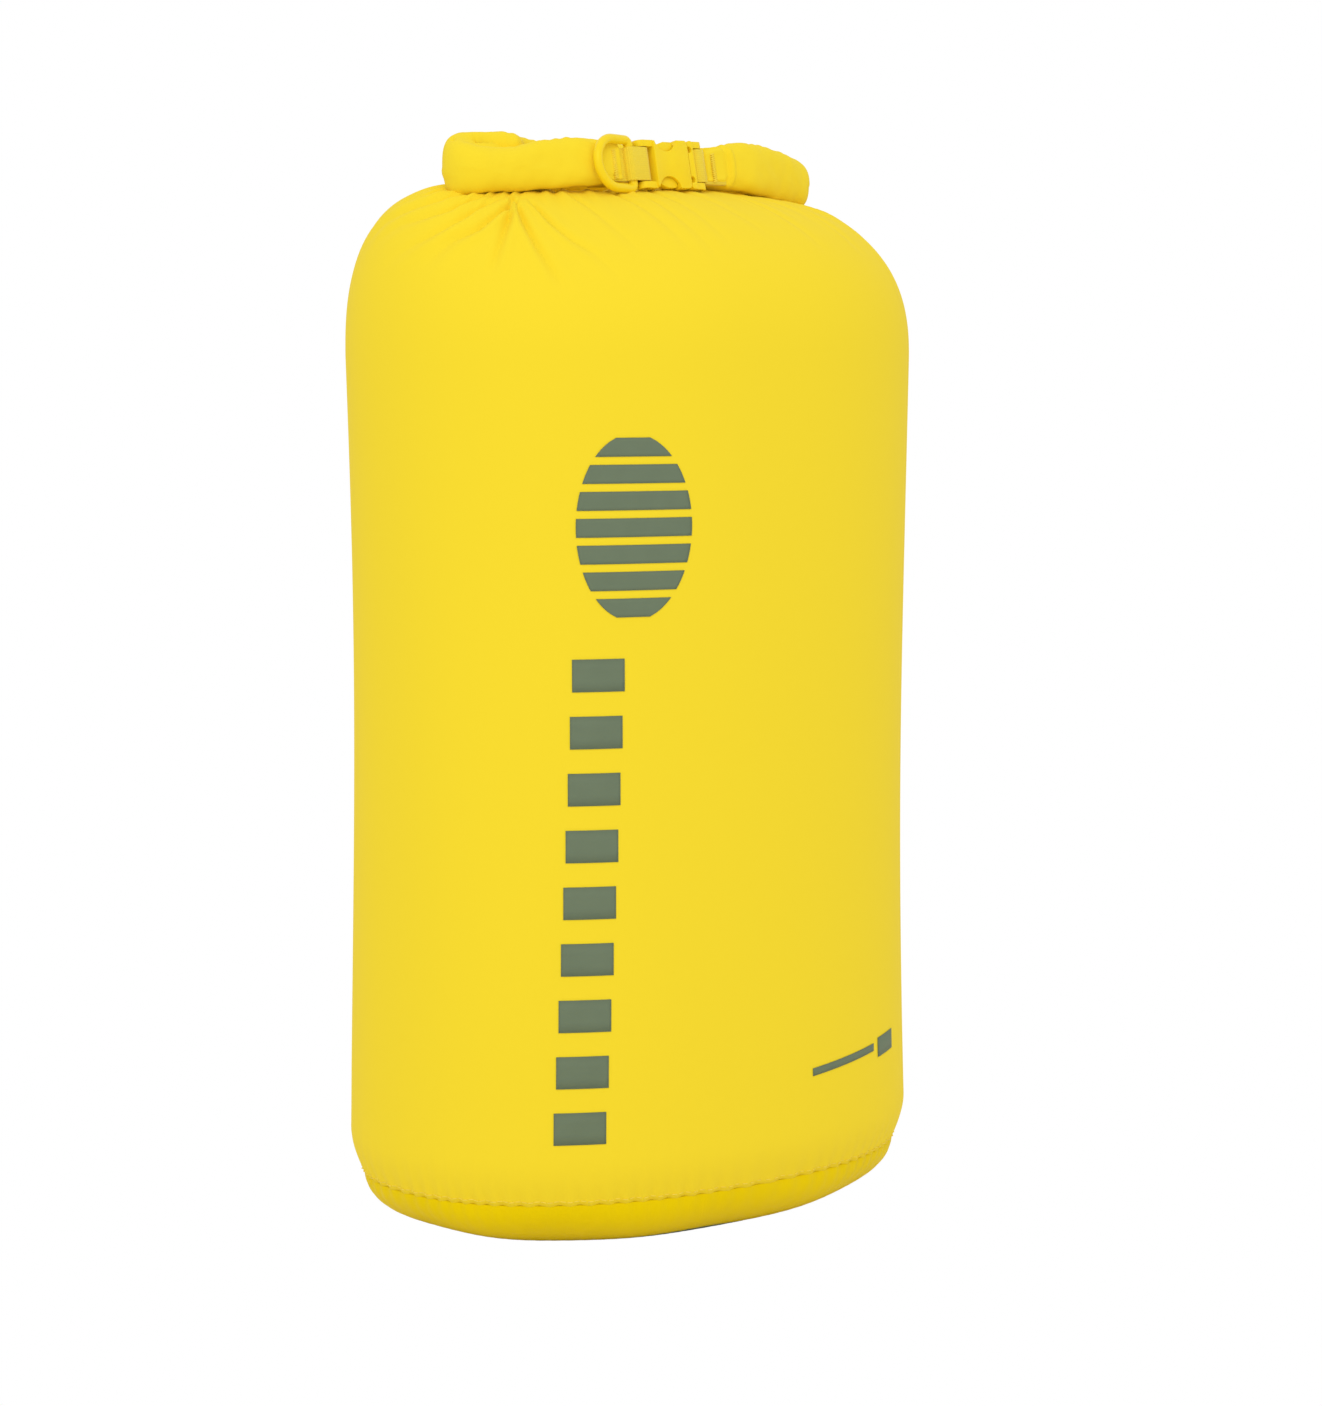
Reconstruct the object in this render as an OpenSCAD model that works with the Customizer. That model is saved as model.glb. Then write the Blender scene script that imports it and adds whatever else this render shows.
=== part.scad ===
// Roll-top dry sack of about 20 litres, standing on its base, closed and clipped.
// Origin: the centre of the base, on the surface it stands on. +Z is up, -Y is the printed front.

/* [Sack body] */
// Width of the oval body
body_w = 280; // [260:1:300]
// Depth of the oval body, front to back
body_d = 196; // [190:1:206]
// Height from the ground to the top of the gathered shoulder
shoulder_top_z = 458; // [450:1:466]
// Height of the base seam above the ground
seam_z = 24; // [20:1:28]
// How far the base seam draws the body in
seam_draw_in = 6; // [4:1:8]
// How much the filled wall narrows half way up, as a share of its width
waist = 0.02; // [0:0.005:0.03]
// Thickness that stands for the coated cloth
cloth_t = 1.4; // [1.2:0.1:1.6]

/* [Rolled closure] */
// Thickness of the flattened roll, front to back
roll_t = 12; // [10:0.5:13]
// Height of the flattened roll
roll_h = 21; // [20:0.5:22]
// X of the left bend's centre
left_bend_x = -90; // [-96:1:-86]
// X of the right bend's centre
right_bend_x = 85; // [80:1:88]
// Y of the rear strip's middle plane
rear_y = 6; // [4:1:8]
// Angle between the left arm and the rear strip
left_arm_angle = 16; // [14:1:20]
// Angle between the right arm and the rear strip
right_arm_angle = 18; // [16:1:20]

/* [Buckle] */
// X of the pin in the socket
socket_pin_x = -20; // [-22:1:-16]
// Y of the buckle's middle plane
buckle_y = -30; // [-32:1:-28]
// Angle by which the buckle leans back on the shoulder
buckle_lean = 12; // [0:1:14]
// Distance between the two web pins
pin_pitch = 31.6; // [31:0.1:32.4]
// Height of the buckle, edge to edge
buckle_h = 21.6; // [21:0.1:23]
// Thickness of the buckle
buckle_t = 8.4; // [8:0.1:9]
// Width of the webbing
web_w = 15; // [14:0.5:15]

/* [D ring] */
// Thickness of the ring's bar
ring_bar_d = 4.2; // [3.8:0.1:4.3]
// Outer height of the ring
ring_h = 26.2; // [25.4:0.1:28]
// Outer reach of the ring from its straight bar's centre
ring_reach = 24; // [22:0.5:25]
// Angle by which the ring stands off the roll at rest
ring_rest_angle = 10; // [8:1:14]

/* [Hidden] */
$fn = 48;

cloth_yellow = "gold";
web_yellow = "khaki";
plastic_yellow = "yellow";
ink_grey = "slategray";

half_w = body_w / 2;
half_d = body_d / 2;

// ---- Sack body: oval sections stacked in rings, outside then inside ----
around = 56;            // points in a ring
oval_power = 2.2;       // 2 is an ellipse, and more is squarer
full_z = 44;            // the wall has its full width from here
shoulder_z = 390;       // the shoulder starts to close in here
shoulder_power = 2.5;   // as oval_power, for the shoulder seen from the front
neck_half_w = 90;       // half size of the flat top of the shoulder
neck_half_d = 20;
collar_half_w = 76;     // outer half size of the neck, which rises to the rear strip
collar_half_d = 8;
collar_h = 5;
collar_z = shoulder_top_z + collar_h;
flat_share = 0.6;       // share of the base that is flat on the ground
low_steps = 5;
wall_steps = 8;
shoulder_steps = 9;
base_steps = 7;

function signed_power(v, p) = sign(v) * pow(abs(v), p);
function oval(a, b, z, y = 0) = [for (i = [0:around - 1]) let (t = 360 * i / around)
    [a * signed_power(cos(t), 2 / oval_power), y + b * signed_power(sin(t), 2 / oval_power), z]];
function waist_share(z) = 1 - waist * sin(180 * (z - full_z) / (shoulder_z - full_z));

// The rings of one skin of the body, from the base seam up to the mouth
function body_rings(inset) = concat(
    [for (i = [0:low_steps - 1]) let (u = i / low_steps, d = seam_draw_in * (1 - sin(90 * u)) + inset)
        oval(half_w - d, half_d - d, seam_z + (full_z - seam_z) * u)],
    [for (i = [0:wall_steps - 1]) let (z = full_z + (shoulder_z - full_z) * i / wall_steps)
        oval(half_w * waist_share(z) - inset, half_d * waist_share(z) - inset, z)],
    [for (i = [0:shoulder_steps]) let (v = 90 * i / shoulder_steps,
            out = signed_power(cos(v), 2 / shoulder_power), up = signed_power(sin(v), 2 / shoulder_power))
        oval(neck_half_w + (half_w - inset - neck_half_w) * out,
             neck_half_d + (half_d - inset - neck_half_d) * out,
             shoulder_z + (shoulder_top_z - inset - shoulder_z) * up)],
    [for (z = [shoulder_top_z - inset, collar_z])
        oval(collar_half_w - inset, collar_half_d - inset, z, rear_y)]);

// The rings of one skin of the base, from the seam down to its flat middle
function base_rings(inset) = [for (i = [0:base_steps]) let (v = 90 * i / base_steps,
        share = flat_share + (1 - flat_share) * cos(v), d = seam_draw_in + inset)
    oval((half_w - d) * share, (half_d - d) * share, seam_z + (inset - seam_z) * sin(v))];

// Two triangles for each step round a band between rings a and b, which have n points each
function band(a, b, n) = [for (i = [0:n - 1], half = [0, 1]) let (j = (i + 1) % n)
    half == 0 ? [a * n + i, b * n + i, b * n + j] : [a * n + i, b * n + j, a * n + j]];
function flat_list(lists) = [for (l = lists, v = l) v];

module body_panel() {
    outer = body_rings(0);
    inner = body_rings(cloth_t);
    rings = concat(outer, [for (i = [len(inner) - 1:-1:0]) inner[i]]);
    count = len(rings);
    color(cloth_yellow)
        polyhedron(flat_list(rings), flat_list([for (k = [0:count - 1]) band(k, (k + 1) % count, around)]));
}

module base_panel() {
    outer = base_rings(0);
    inner = base_rings(cloth_t);
    rings = concat([for (i = [len(outer) - 1:-1:0]) outer[i]], inner);
    count = len(rings);
    underside = [for (i = [0:around - 1]) i];
    inside = [for (i = [around - 1:-1:0]) (count - 1) * around + i];
    color(cloth_yellow)
        polyhedron(flat_list(rings),
            concat(flat_list([for (k = [0:count - 2]) band(k, k + 1, around)]), [underside, inside]));
}

// ---- Tapes and the side seam ----
tape_t = 0.6;
tape_w = 16;
tape_gap = 0.3;
fell_w = 9;
seam_bottom_z = full_z + 5;
seam_top_z = shoulder_z - 5;

// A conformal strip that covers part of the wall: t is the angle in the oval, d the distance outside the wall
function wall_point(t, z, d) = [
    (half_w * waist_share(z) + d) * signed_power(cos(t), 2 / oval_power),
    (half_d * waist_share(z) + d) * signed_power(sin(t), 2 / oval_power), z];

module wall_patch(t0, t1, z0, z1, d, thickness, columns = 3, rows = 3) {
    grid = [for (depth = [d, d + thickness], r = [0:rows], c = [0:columns])
        wall_point(t0 + (t1 - t0) * c / columns, z0 + (z1 - z0) * r / rows, depth)];
    per_row = columns + 1;
    per_skin = per_row * (rows + 1);
    function cell(s, r, c) = s * per_skin + r * per_row + c;
    skins = [for (r = [0:rows - 1], c = [0:columns - 1], k = [0:3])
        k == 0 ? [cell(0, r, c), cell(0, r + 1, c), cell(0, r + 1, c + 1)]
        : k == 1 ? [cell(0, r, c), cell(0, r + 1, c + 1), cell(0, r, c + 1)]
        : k == 2 ? [cell(1, r, c), cell(1, r + 1, c + 1), cell(1, r + 1, c)]
        : [cell(1, r, c), cell(1, r, c + 1), cell(1, r + 1, c + 1)]];
    sides = [for (r = [0:rows - 1], k = [0:3])
        k == 0 ? [cell(0, r, 0), cell(1, r, 0), cell(1, r + 1, 0)]
        : k == 1 ? [cell(0, r, 0), cell(1, r + 1, 0), cell(0, r + 1, 0)]
        : k == 2 ? [cell(0, r, columns), cell(1, r + 1, columns), cell(1, r, columns)]
        : [cell(0, r, columns), cell(0, r + 1, columns), cell(1, r + 1, columns)]];
    ends = [for (c = [0:columns - 1], k = [0:3])
        k == 0 ? [cell(0, 0, c), cell(1, 0, c + 1), cell(1, 0, c)]
        : k == 1 ? [cell(0, 0, c), cell(0, 0, c + 1), cell(1, 0, c + 1)]
        : k == 2 ? [cell(0, rows, c), cell(1, rows, c), cell(1, rows, c + 1)]
        : [cell(0, rows, c), cell(1, rows, c + 1), cell(0, rows, c + 1)]];
    polyhedron(grid, concat(skins, sides, ends));
}

module base_seam_tape() {
    // A band inside the base seam, clear of the body's inner skin at its lowest, narrowest ring
    d = seam_draw_in + cloth_t + tape_gap;
    color(web_yellow) translate([0, 0, seam_z]) linear_extrude(tape_w) difference() {
        polygon([for (p = oval(half_w - d, half_d - d, 0)) [p.x, p.y]]);
        polygon([for (p = oval(half_w - d - tape_t, half_d - d - tape_t, 0)) [p.x, p.y]]);
    }
}

// Angle in the oval that a width at the back's middle takes
function back_angle(w) = acos(pow(w / 2 / half_w, oval_power / 2));

module side_seam_tape() {
    t = back_angle(tape_w);
    color(web_yellow)
        wall_patch(t, 180 - t, seam_bottom_z, seam_top_z, -cloth_t - tape_gap - tape_t, tape_t, 2, 8);
}

module side_seam_fell() {
    t = back_angle(fell_w);
    color(cloth_yellow)
        wall_patch(t, 180 - t, seam_bottom_z, seam_top_z, 0.05, cloth_t / 2, 2, 8);
}

// ---- Prints: a striped oval over a leaning ladder of plain bars, and a small plain size mark ----
film_t = 0.25;
film_gap = 0.25;        // clears the flat facets of the wall
film_step = 3;          // most degrees in the oval from column to column
degrees_per_mm = 0.45;  // along the wall near the prints
bar_count = 9;
bar_pitch = 24.5;
bar_h = 14;
bar_w = 25;
bar_bottom_z = 52;
bar_t = [229.5, 233.5]; // angle in the oval of the lowest and the highest bar's middle
oval_t = 241;
oval_z = 318;
oval_half_w = 27;
oval_half_h = 40;
stripe_count = 7;
stripe_share = 0.66;    // share of each stripe's pitch that is inked
size_bar_t = [278, 298];
size_bar_z = [70, 74];
size_block_t = [300, 308];
size_block_z = [67, 77];

module film(t0, t1, z0, z1) {
    wall_patch(t0, t1, z0, z1, film_gap, film_t, ceil((t1 - t0) / film_step), 1);
}

module front_print() {
    bar_reach = bar_w / 2 * degrees_per_mm;
    pitch = 2 * oval_half_h / stripe_count;
    color(ink_grey) {
        for (i = [0:bar_count - 1]) {
            t = bar_t[0] + (bar_t[1] - bar_t[0]) * i / (bar_count - 1);
            z = bar_bottom_z + bar_pitch * i;
            film(t - bar_reach, t + bar_reach, z, z + bar_h);
        }
        for (i = [0:stripe_count - 1]) {
            z = pitch * (i + 0.5) - oval_half_h;
            reach = oval_half_w * sqrt(1 - pow(z / oval_half_h, 2)) * degrees_per_mm;
            film(oval_t - reach, oval_t + reach, oval_z + z - pitch * stripe_share / 2,
                oval_z + z + pitch * stripe_share / 2);
        }
    }
}

module size_print() {
    color(ink_grey) {
        film(size_bar_t[0], size_bar_t[1], size_bar_z[0], size_bar_z[1]);
        film(size_block_t[0], size_block_t[1], size_block_z[0], size_block_z[1]);
    }
}

// ---- Rolled closure: a flattened roll that runs back, round two bends and forward to the buckle ----
roll_z = collar_z + 1 + roll_h / 2;         // middle height of the roll
bend_r = 8;             // middle radius of the two end bends
ease_r = 20;            // middle radius of the soft turns next to the buckle
bend_parts = 12;        // sections round an end bend
ease_parts = 3;
twist_parts = 4;        // sections along the straight, where the roll comes to lean back
cap_parts = 8;          // steps round the roll's top, and round its bottom
tip_room = 0.7;         // from a tab's loop to the tip of its arm
face_y = 2.6;           // the arms' front faces, behind the buckle's middle plane
arm_y = buckle_y + (face_y + roll_t / 2) / cos(buckle_lean);
core_t = 2;             // slot along the roll's middle, for the stiffener
core_h = 17.8;
strip_t = 1.2;
strip_h = 16.4;
strip_stop = 2;         // the stiffener stops this far before the arm's tip
split_gap = 0.3;        // between the rear strip and the end that moves with the plug
rear_length = right_bend_x - left_bend_x - split_gap;

// An arm's path from above as [x, y, heading, lean]: X runs from its bend's centre towards the buckle
function straight_length(angle) = (rear_y - arm_y - bend_r * (1 + cos(angle)) - ease_r * (1 - cos(angle)))
    / sin(angle);
function ease_x(angle) = (ease_r - bend_r) * sin(angle) + straight_length(angle) * cos(angle);
function turn_points(x, y, r, from, to, parts, lean) = [for (k = [0:parts])
    let (a = from + (to - from) * k / parts) [x + r * sin(a), y - r * cos(a), a, lean]];
function twist_points(from, to) = [for (k = [1:twist_parts]) from + (to - from) * k / (twist_parts + 1)];
function arm_path(angle, reach) = let (
    bend = turn_points(0, rear_y - bend_r, bend_r, 180, 360 - angle, bend_parts, 0),
    ease = turn_points(ease_x(angle), arm_y + ease_r, ease_r, 360 - angle, 360, ease_parts, buckle_lean))
    concat(bend, twist_points(bend[bend_parts], ease[0]), ease, [[reach, arm_y, 360, buckle_lean]]);

// A flattened roll's outline, with straight sides and a round top and bottom, and a strip's on edge
function capsule(t, h) = [for (s = [0, 1], k = [0:cap_parts]) let (a = 180 * (s + k / cap_parts))
    [t / 2 * cos(a), (0.5 - s) * (h - t) + t / 2 * sin(a)]];
function on_edge(t, h) = [for (s = [[1, -1], [1, 1], [-1, 1], [-1, -1]]) [s.x * t / 2, s.y * h / 2]];
// The outline set across the path at a point of it, leaned back
function set_across(outline, p) = [for (q = outline)
    let (u = q.x * cos(p[3]) + q.y * sin(p[3]), w = q.y * cos(p[3]) - q.x * sin(p[3]))
        [p.x - u * sin(p[2]), p.y + u * cos(p[2]), w]];

// An arm's roll is open along its core for the stiffener
module arm_roll(path) {
    sides = 2 * (cap_parts + 1);
    rings = concat([for (p = path) set_across(capsule(roll_t, roll_h), p)],
        [for (i = [len(path) - 1:-1:0]) set_across(capsule(core_t, core_h), path[i])]);
    count = len(rings);
    polyhedron(flat_list(rings), flat_list([for (k = [0:count - 1]) band(k, (k + 1) % count, sides)]));
}

// A stiffener is a flat strip on edge along a path
module edge_strip(path) {
    count = len(path);
    polyhedron(flat_list([for (p = path) set_across(on_edge(strip_t, strip_h), p)]),
        concat(flat_list([for (k = [0:count - 2]) band(k, k + 1, 4)]),
            [[0, 1, 2, 3], [for (i = [3:-1:0]) 4 * (count - 1) + i]]));
}

module from_left_bend() {
    translate([left_bend_x, 0, roll_z]) children();
}

module from_right_bend() {
    translate([right_bend_x, 0, roll_z]) mirror([1, 0, 0]) children();
}

module rolled_mouth_rear() {
    color(cloth_yellow) translate([left_bend_x, rear_y, roll_z]) rotate([90, 0, 90])
        linear_extrude(rear_length) difference() {
            union() {
                for (s = [-1, 1]) translate([0, s * (roll_h - roll_t) / 2]) circle(d = roll_t);
                square([roll_t, roll_h - roll_t], center = true);
            }
            square([core_t, core_h], center = true);
        }
}

module rolled_mouth_left() {
    color(cloth_yellow) from_left_bend() arm_roll(arm_path(left_arm_angle, left_reach));
}

module rolled_mouth_right() {
    color(cloth_yellow) from_right_bend() arm_roll(arm_path(right_arm_angle, right_reach));
}

module stiffener_main() {
    color(web_yellow) from_left_bend() edge_strip(concat([[rear_length, rear_y, 180, 0]],
        arm_path(left_arm_angle, left_reach - strip_stop)));
}

module stiffener_right() {
    color(web_yellow) from_right_bend() edge_strip(arm_path(right_arm_angle, right_reach - strip_stop));
}

// ---- Buckle group: drawn with the socket's pin on the Z axis, then leaned back and placed ----
pin_d = 3.7;
pin_fit = 0.04;         // radial room round a pin in its ears
ear_r = 3.2;
ear_w = 2.9;
pin_recess = 1.5;       // how deep a pin's ends lie in the ears
half_h = buckle_h / 2;
half_t = buckle_t / 2;
mouth_x = 24.4;         // where the socket ends and the plug's base begins
body_x = 4.8;           // where the socket's body begins
corner_r = 1.6;
channel_half_h = 8.7;
channel_half_t = 2.6;
channel_end_x = 6.2;
window_x = [7.6, 17.4]; // the latch windows in the socket's edges
notch_r = 6.4;          // thumb notches in the socket's faces
notch_x = 11.8;
notch_z = half_h + 1.2;
joint_gap = 0.25;
knuckle_r = 1.4;
knuckle_room = 0.08;
knuckle_x = mouth_x + joint_gap + 0.6;
knuckle_z = 6.8;
prong_half_t = 2.35;
pad_z = 10.4;           // outer edge of a prong's latch pad
arm_out_z = 8.2;
arm_in_z = 5.4;
arm_x = [17, mouth_x - 1.2];
neck_half_h = 0.95;
tongue_half_h = 1.2;
tongue_tip_x = 12.5;
plate_x = [mouth_x + joint_gap, mouth_x + 3.2];
latch_gap = 0.3;

module at_buckle() {
    translate([socket_pin_x, buckle_y, roll_z]) rotate([-buckle_lean, 0, 0]) children();
}

// Draws children, a shape in X and Z, as a solid of half thickness t in Y
module slab(t) {
    rotate([90, 0, 0]) linear_extrude(2 * t, center = true) children();
}

module soft_square(x0, x1, h, r) {
    for (x = [x0 + r, x1 - r], z = [-h + r, h - r]) translate([x, z]) circle(r);
    translate([x0 + r, -h]) square([x1 - x0 - 2 * r, 2 * h]);
    translate([x0, -h + r]) square([x1 - x0, 2 * h - 2 * r]);
}

// The two ears that carry a web pin at x, joined to a body on the side that way points
module ears(x, to_x) {
    for (s = [-1, 1]) translate([0, 0, s * (half_h - ear_w / 2)]) {
        translate([x, 0, 0]) cylinder(r = ear_r, h = ear_w, center = true);
        translate([min(x, to_x), -ear_r, -ear_w / 2]) cube([abs(to_x - x), 2 * ear_r, ear_w]);
    }
}

module pin_bore(x) {
    translate([x, 0, 0]) cylinder(d = pin_d + 2 * pin_fit, h = buckle_h + 2, center = true);
}

module buckle_socket() {
    color(plastic_yellow) at_buckle() difference() {
        union() {
            slab(half_t) soft_square(body_x, mouth_x, half_h, corner_r);
            ears(0, body_x + 1);
        }
        pin_bore(0);
        translate([channel_end_x, -channel_half_t, -channel_half_h])
            cube([mouth_x, 2 * channel_half_t, 2 * channel_half_h]);
        translate([window_x[0], -channel_half_t, -half_h - 1])
            cube([window_x[1] - window_x[0], 2 * channel_half_t, buckle_h + 2]);
        for (s = [-1, 1]) translate([notch_x, 0, s * notch_z]) rotate([90, 0, 0])
            cylinder(r = notch_r, h = buckle_t + 2, center = true);
    }
}

module web_pin(x) {
    color(plastic_yellow) at_buckle() translate([x, 0, 0])
        cylinder(d = pin_d, h = buckle_h - 2 * pin_recess, center = true);
}

module socket_pin() {
    web_pin(0);
}

module plug_pin() {
    web_pin(pin_pitch);
}

module buckle_plug() {
    color(plastic_yellow) at_buckle() difference() {
        union() {
            slab(half_t) soft_square(plate_x[0], plate_x[1], half_h, 1.2);
            ears(pin_pitch, plate_x[1] - 1);
            slab(2.2) {
                translate([tongue_tip_x, 0]) circle(tongue_half_h);
                translate([tongue_tip_x, -tongue_half_h])
                    square([plate_x[0] + 1 - tongue_tip_x, 2 * tongue_half_h]);
            }
        }
        pin_bore(pin_pitch);
        for (s = [-1, 1]) translate([knuckle_x, 0, s * knuckle_z]) rotate([90, 0, 0])
            cylinder(r = knuckle_r + knuckle_room, h = buckle_t + 2, center = true);
    }
}

// A sprung latch arm: a knuckle at its root, a slim neck, an arm and a broad rounded pad
module prong_outline() {
    translate([knuckle_x, knuckle_z]) circle(knuckle_r);
    translate([arm_x[1] - 1, knuckle_z - neck_half_h]) square([knuckle_x - arm_x[1] + 1, 2 * neck_half_h]);
    translate([arm_x[0], arm_in_z]) square([arm_x[1] - arm_x[0], arm_out_z - arm_in_z]);
    polygon([[arm_x[0] + 0.2, arm_in_z], [arm_x[0] + 0.2, arm_out_z], [window_x[1] - latch_gap, pad_z - 0.6],
        [window_x[1] - 1.2, pad_z], [12, pad_z], [8.2, 9], [6.9, 7.2], [7.2, 5.9], [8.4, arm_in_z]]);
}

module prong(side) {
    color(plastic_yellow) at_buckle() slab(prong_half_t) scale_side(side) prong_outline();
}

module scale_side(side) {
    if (side > 0) children();
    else mirror([0, 1]) children();
}

module upper_prong() {
    prong(1);
}

module lower_prong() {
    prong(-1);
}

// ---- Webbing tabs: a loop round a pin, closing to a flat tail that is sewn to an arm's front face ----
web_t = 1.1;
web_room = 0.4;         // between the webbing and the pin it goes round
loop_in_r = pin_d / 2 + web_room;
loop_out_r = loop_in_r + web_t;
left_loop = -6.4;       // from the socket's pin to the ring's bar, at the other end of the loop
right_loop = 1.2;
tail_length = 13;
tail_y = face_y - web_t;
left_reach = socket_pin_x + left_loop - loop_out_r - tip_room - left_bend_x;
right_reach = right_bend_x - (socket_pin_x + pin_pitch + right_loop + loop_out_r + tip_room);

// loop_length is signed: it points from the pin to the tail
module tab_outline(loop_length) {
    way = sign(loop_length);
    difference() {
        union() {
            for (x = [0, loop_length]) translate([x, 0]) circle(loop_out_r);
            translate([min(0, loop_length), -loop_out_r]) square([abs(loop_length), 2 * loop_out_r]);
            translate([loop_length + (way < 0 ? -loop_out_r - tail_length : 0), tail_y - web_t])
                square([loop_out_r + tail_length, 2 * web_t]);
        }
        for (x = [0, loop_length]) translate([x, 0]) circle(loop_in_r);
        translate([min(0, loop_length), -loop_in_r]) square([abs(loop_length), 2 * loop_in_r]);
    }
}

module left_tab() {
    color(web_yellow) at_buckle() linear_extrude(web_w, center = true) tab_outline(left_loop);
}

module right_tab() {
    color(web_yellow) at_buckle() translate([pin_pitch, 0, 0]) linear_extrude(web_w, center = true)
        tab_outline(right_loop);
}

// Bar tacks: dense rows of thread that lie on the front of a tab's tail
thread_d = 0.4;
tack_h = 12;
tack_rows = 3;
tack_pitch = 0.7;
tack_x = 6;             // from the loop's end to the first row

module bartack(x) {
    color(web_yellow) at_buckle() for (i = [0:tack_rows - 1])
        translate([x + i * tack_pitch, tail_y - web_t - thread_d / 2 - 0.02, 0])
            cylinder(d = thread_d, h = tack_h, center = true, $fn = 16);
}

module left_bartack() {
    bartack(left_loop - loop_out_r - tack_x - tack_rows * tack_pitch);
}

module right_bartack() {
    bartack(pin_pitch + right_loop + loop_out_r + tack_x);
}

// ---- D ring: a straight bar, two corners, two short sides and a half round ----
ring_r = (ring_h - ring_bar_d) / 2;
ring_corner_r = 2.6;
ring_side = ring_reach - ring_bar_d / 2 - ring_r;

module ring_side_bar(s) {
    translate([-ring_corner_r, 0, s * ring_r]) rotate([0, -90, 0])
        cylinder(d = ring_bar_d, h = ring_side - ring_corner_r);
    translate([-ring_corner_r, 0, s * (ring_r - ring_corner_r)]) rotate([s > 0 ? 90 : -90, 0, 0])
        rotate_extrude(angle = 90) translate([ring_corner_r, 0]) circle(d = ring_bar_d);
}

module d_ring() {
    color(plastic_yellow) at_buckle() translate([left_loop, 0, 0]) rotate(ring_rest_angle) {
        cylinder(d = ring_bar_d, h = 2 * (ring_r - ring_corner_r), center = true);
        for (s = [-1, 1]) ring_side_bar(s);
        translate([-ring_side, 0, 0]) rotate([90, 0, 0]) rotate(90)
            rotate_extrude(angle = 180) translate([ring_r, 0]) circle(d = ring_bar_d);
    }
}

body_panel();
base_panel();
base_seam_tape();
side_seam_tape();
side_seam_fell();
front_print();
size_print();
rolled_mouth_rear();
rolled_mouth_left();
rolled_mouth_right();
stiffener_main();
stiffener_right();
left_tab();
right_tab();
left_bartack();
right_bartack();
buckle_socket();
socket_pin();
buckle_plug();
plug_pin();
upper_prong();
lower_prong();
d_ring();
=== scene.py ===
"""Looks of the roll-top stuff sack: cloth, webbing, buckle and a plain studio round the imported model."""

import math

import bpy
import numpy as np
from mathutils import Matrix, Vector


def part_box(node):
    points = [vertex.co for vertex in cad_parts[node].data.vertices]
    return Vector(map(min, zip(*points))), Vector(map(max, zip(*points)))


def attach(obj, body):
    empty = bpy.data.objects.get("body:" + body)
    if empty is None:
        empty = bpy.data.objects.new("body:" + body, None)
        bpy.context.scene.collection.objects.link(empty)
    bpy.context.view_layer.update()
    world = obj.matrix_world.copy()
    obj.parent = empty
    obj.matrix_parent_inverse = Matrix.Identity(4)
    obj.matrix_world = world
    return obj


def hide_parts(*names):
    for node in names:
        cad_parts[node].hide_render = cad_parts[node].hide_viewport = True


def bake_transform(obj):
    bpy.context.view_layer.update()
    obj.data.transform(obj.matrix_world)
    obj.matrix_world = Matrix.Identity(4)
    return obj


bl_info = {
    "name": "Roll-top stuff sack",
    "version": (1, 0, 0),
    "blender": (4, 5, 0),
    "location": "3D View > Sidebar > Stuff sack",
    "description": "Builds the cloth, webbing, buckle and studio of a closed roll-top stuff sack",
    "category": "Object",
}

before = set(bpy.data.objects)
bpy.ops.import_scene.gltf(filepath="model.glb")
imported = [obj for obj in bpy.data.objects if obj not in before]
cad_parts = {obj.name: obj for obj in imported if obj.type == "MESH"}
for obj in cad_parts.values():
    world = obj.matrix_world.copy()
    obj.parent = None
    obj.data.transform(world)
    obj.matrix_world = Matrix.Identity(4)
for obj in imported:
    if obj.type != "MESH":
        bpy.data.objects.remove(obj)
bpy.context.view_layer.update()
MM = 0.001


def node_box(name):
    """Lowest and highest corner of a CAD node, and its middle."""
    low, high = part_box(name)
    return low, high, (low + high) / 2


BODY_LOW, BODY_HIGH, _ = node_box("body_panel")
ROLL_LOW, ROLL_HIGH, _ = node_box("rolled_mouth_rear")
SOCKET_PIN = node_box("socket_pin")[2]


# ---- Sizes and colours that a user would change ----
def length(name, text, size):
    """A size in metres, with a label and a tooltip."""
    return bpy.props.FloatProperty(name=name, description=text, default=size, unit="LENGTH", precision=4)


def angle_value(name, text, degrees):
    """An angle given in degrees, with a label and a tooltip."""
    return bpy.props.FloatProperty(
        name=name, description=text, default=math.radians(degrees), subtype="ANGLE"
    )


def colour(name, text, value):
    """A colour in linear light, with a label and a tooltip."""
    return bpy.props.FloatVectorProperty(
        name=name, description=text, default=value, subtype="COLOR", size=3, min=0, max=1
    )


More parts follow.
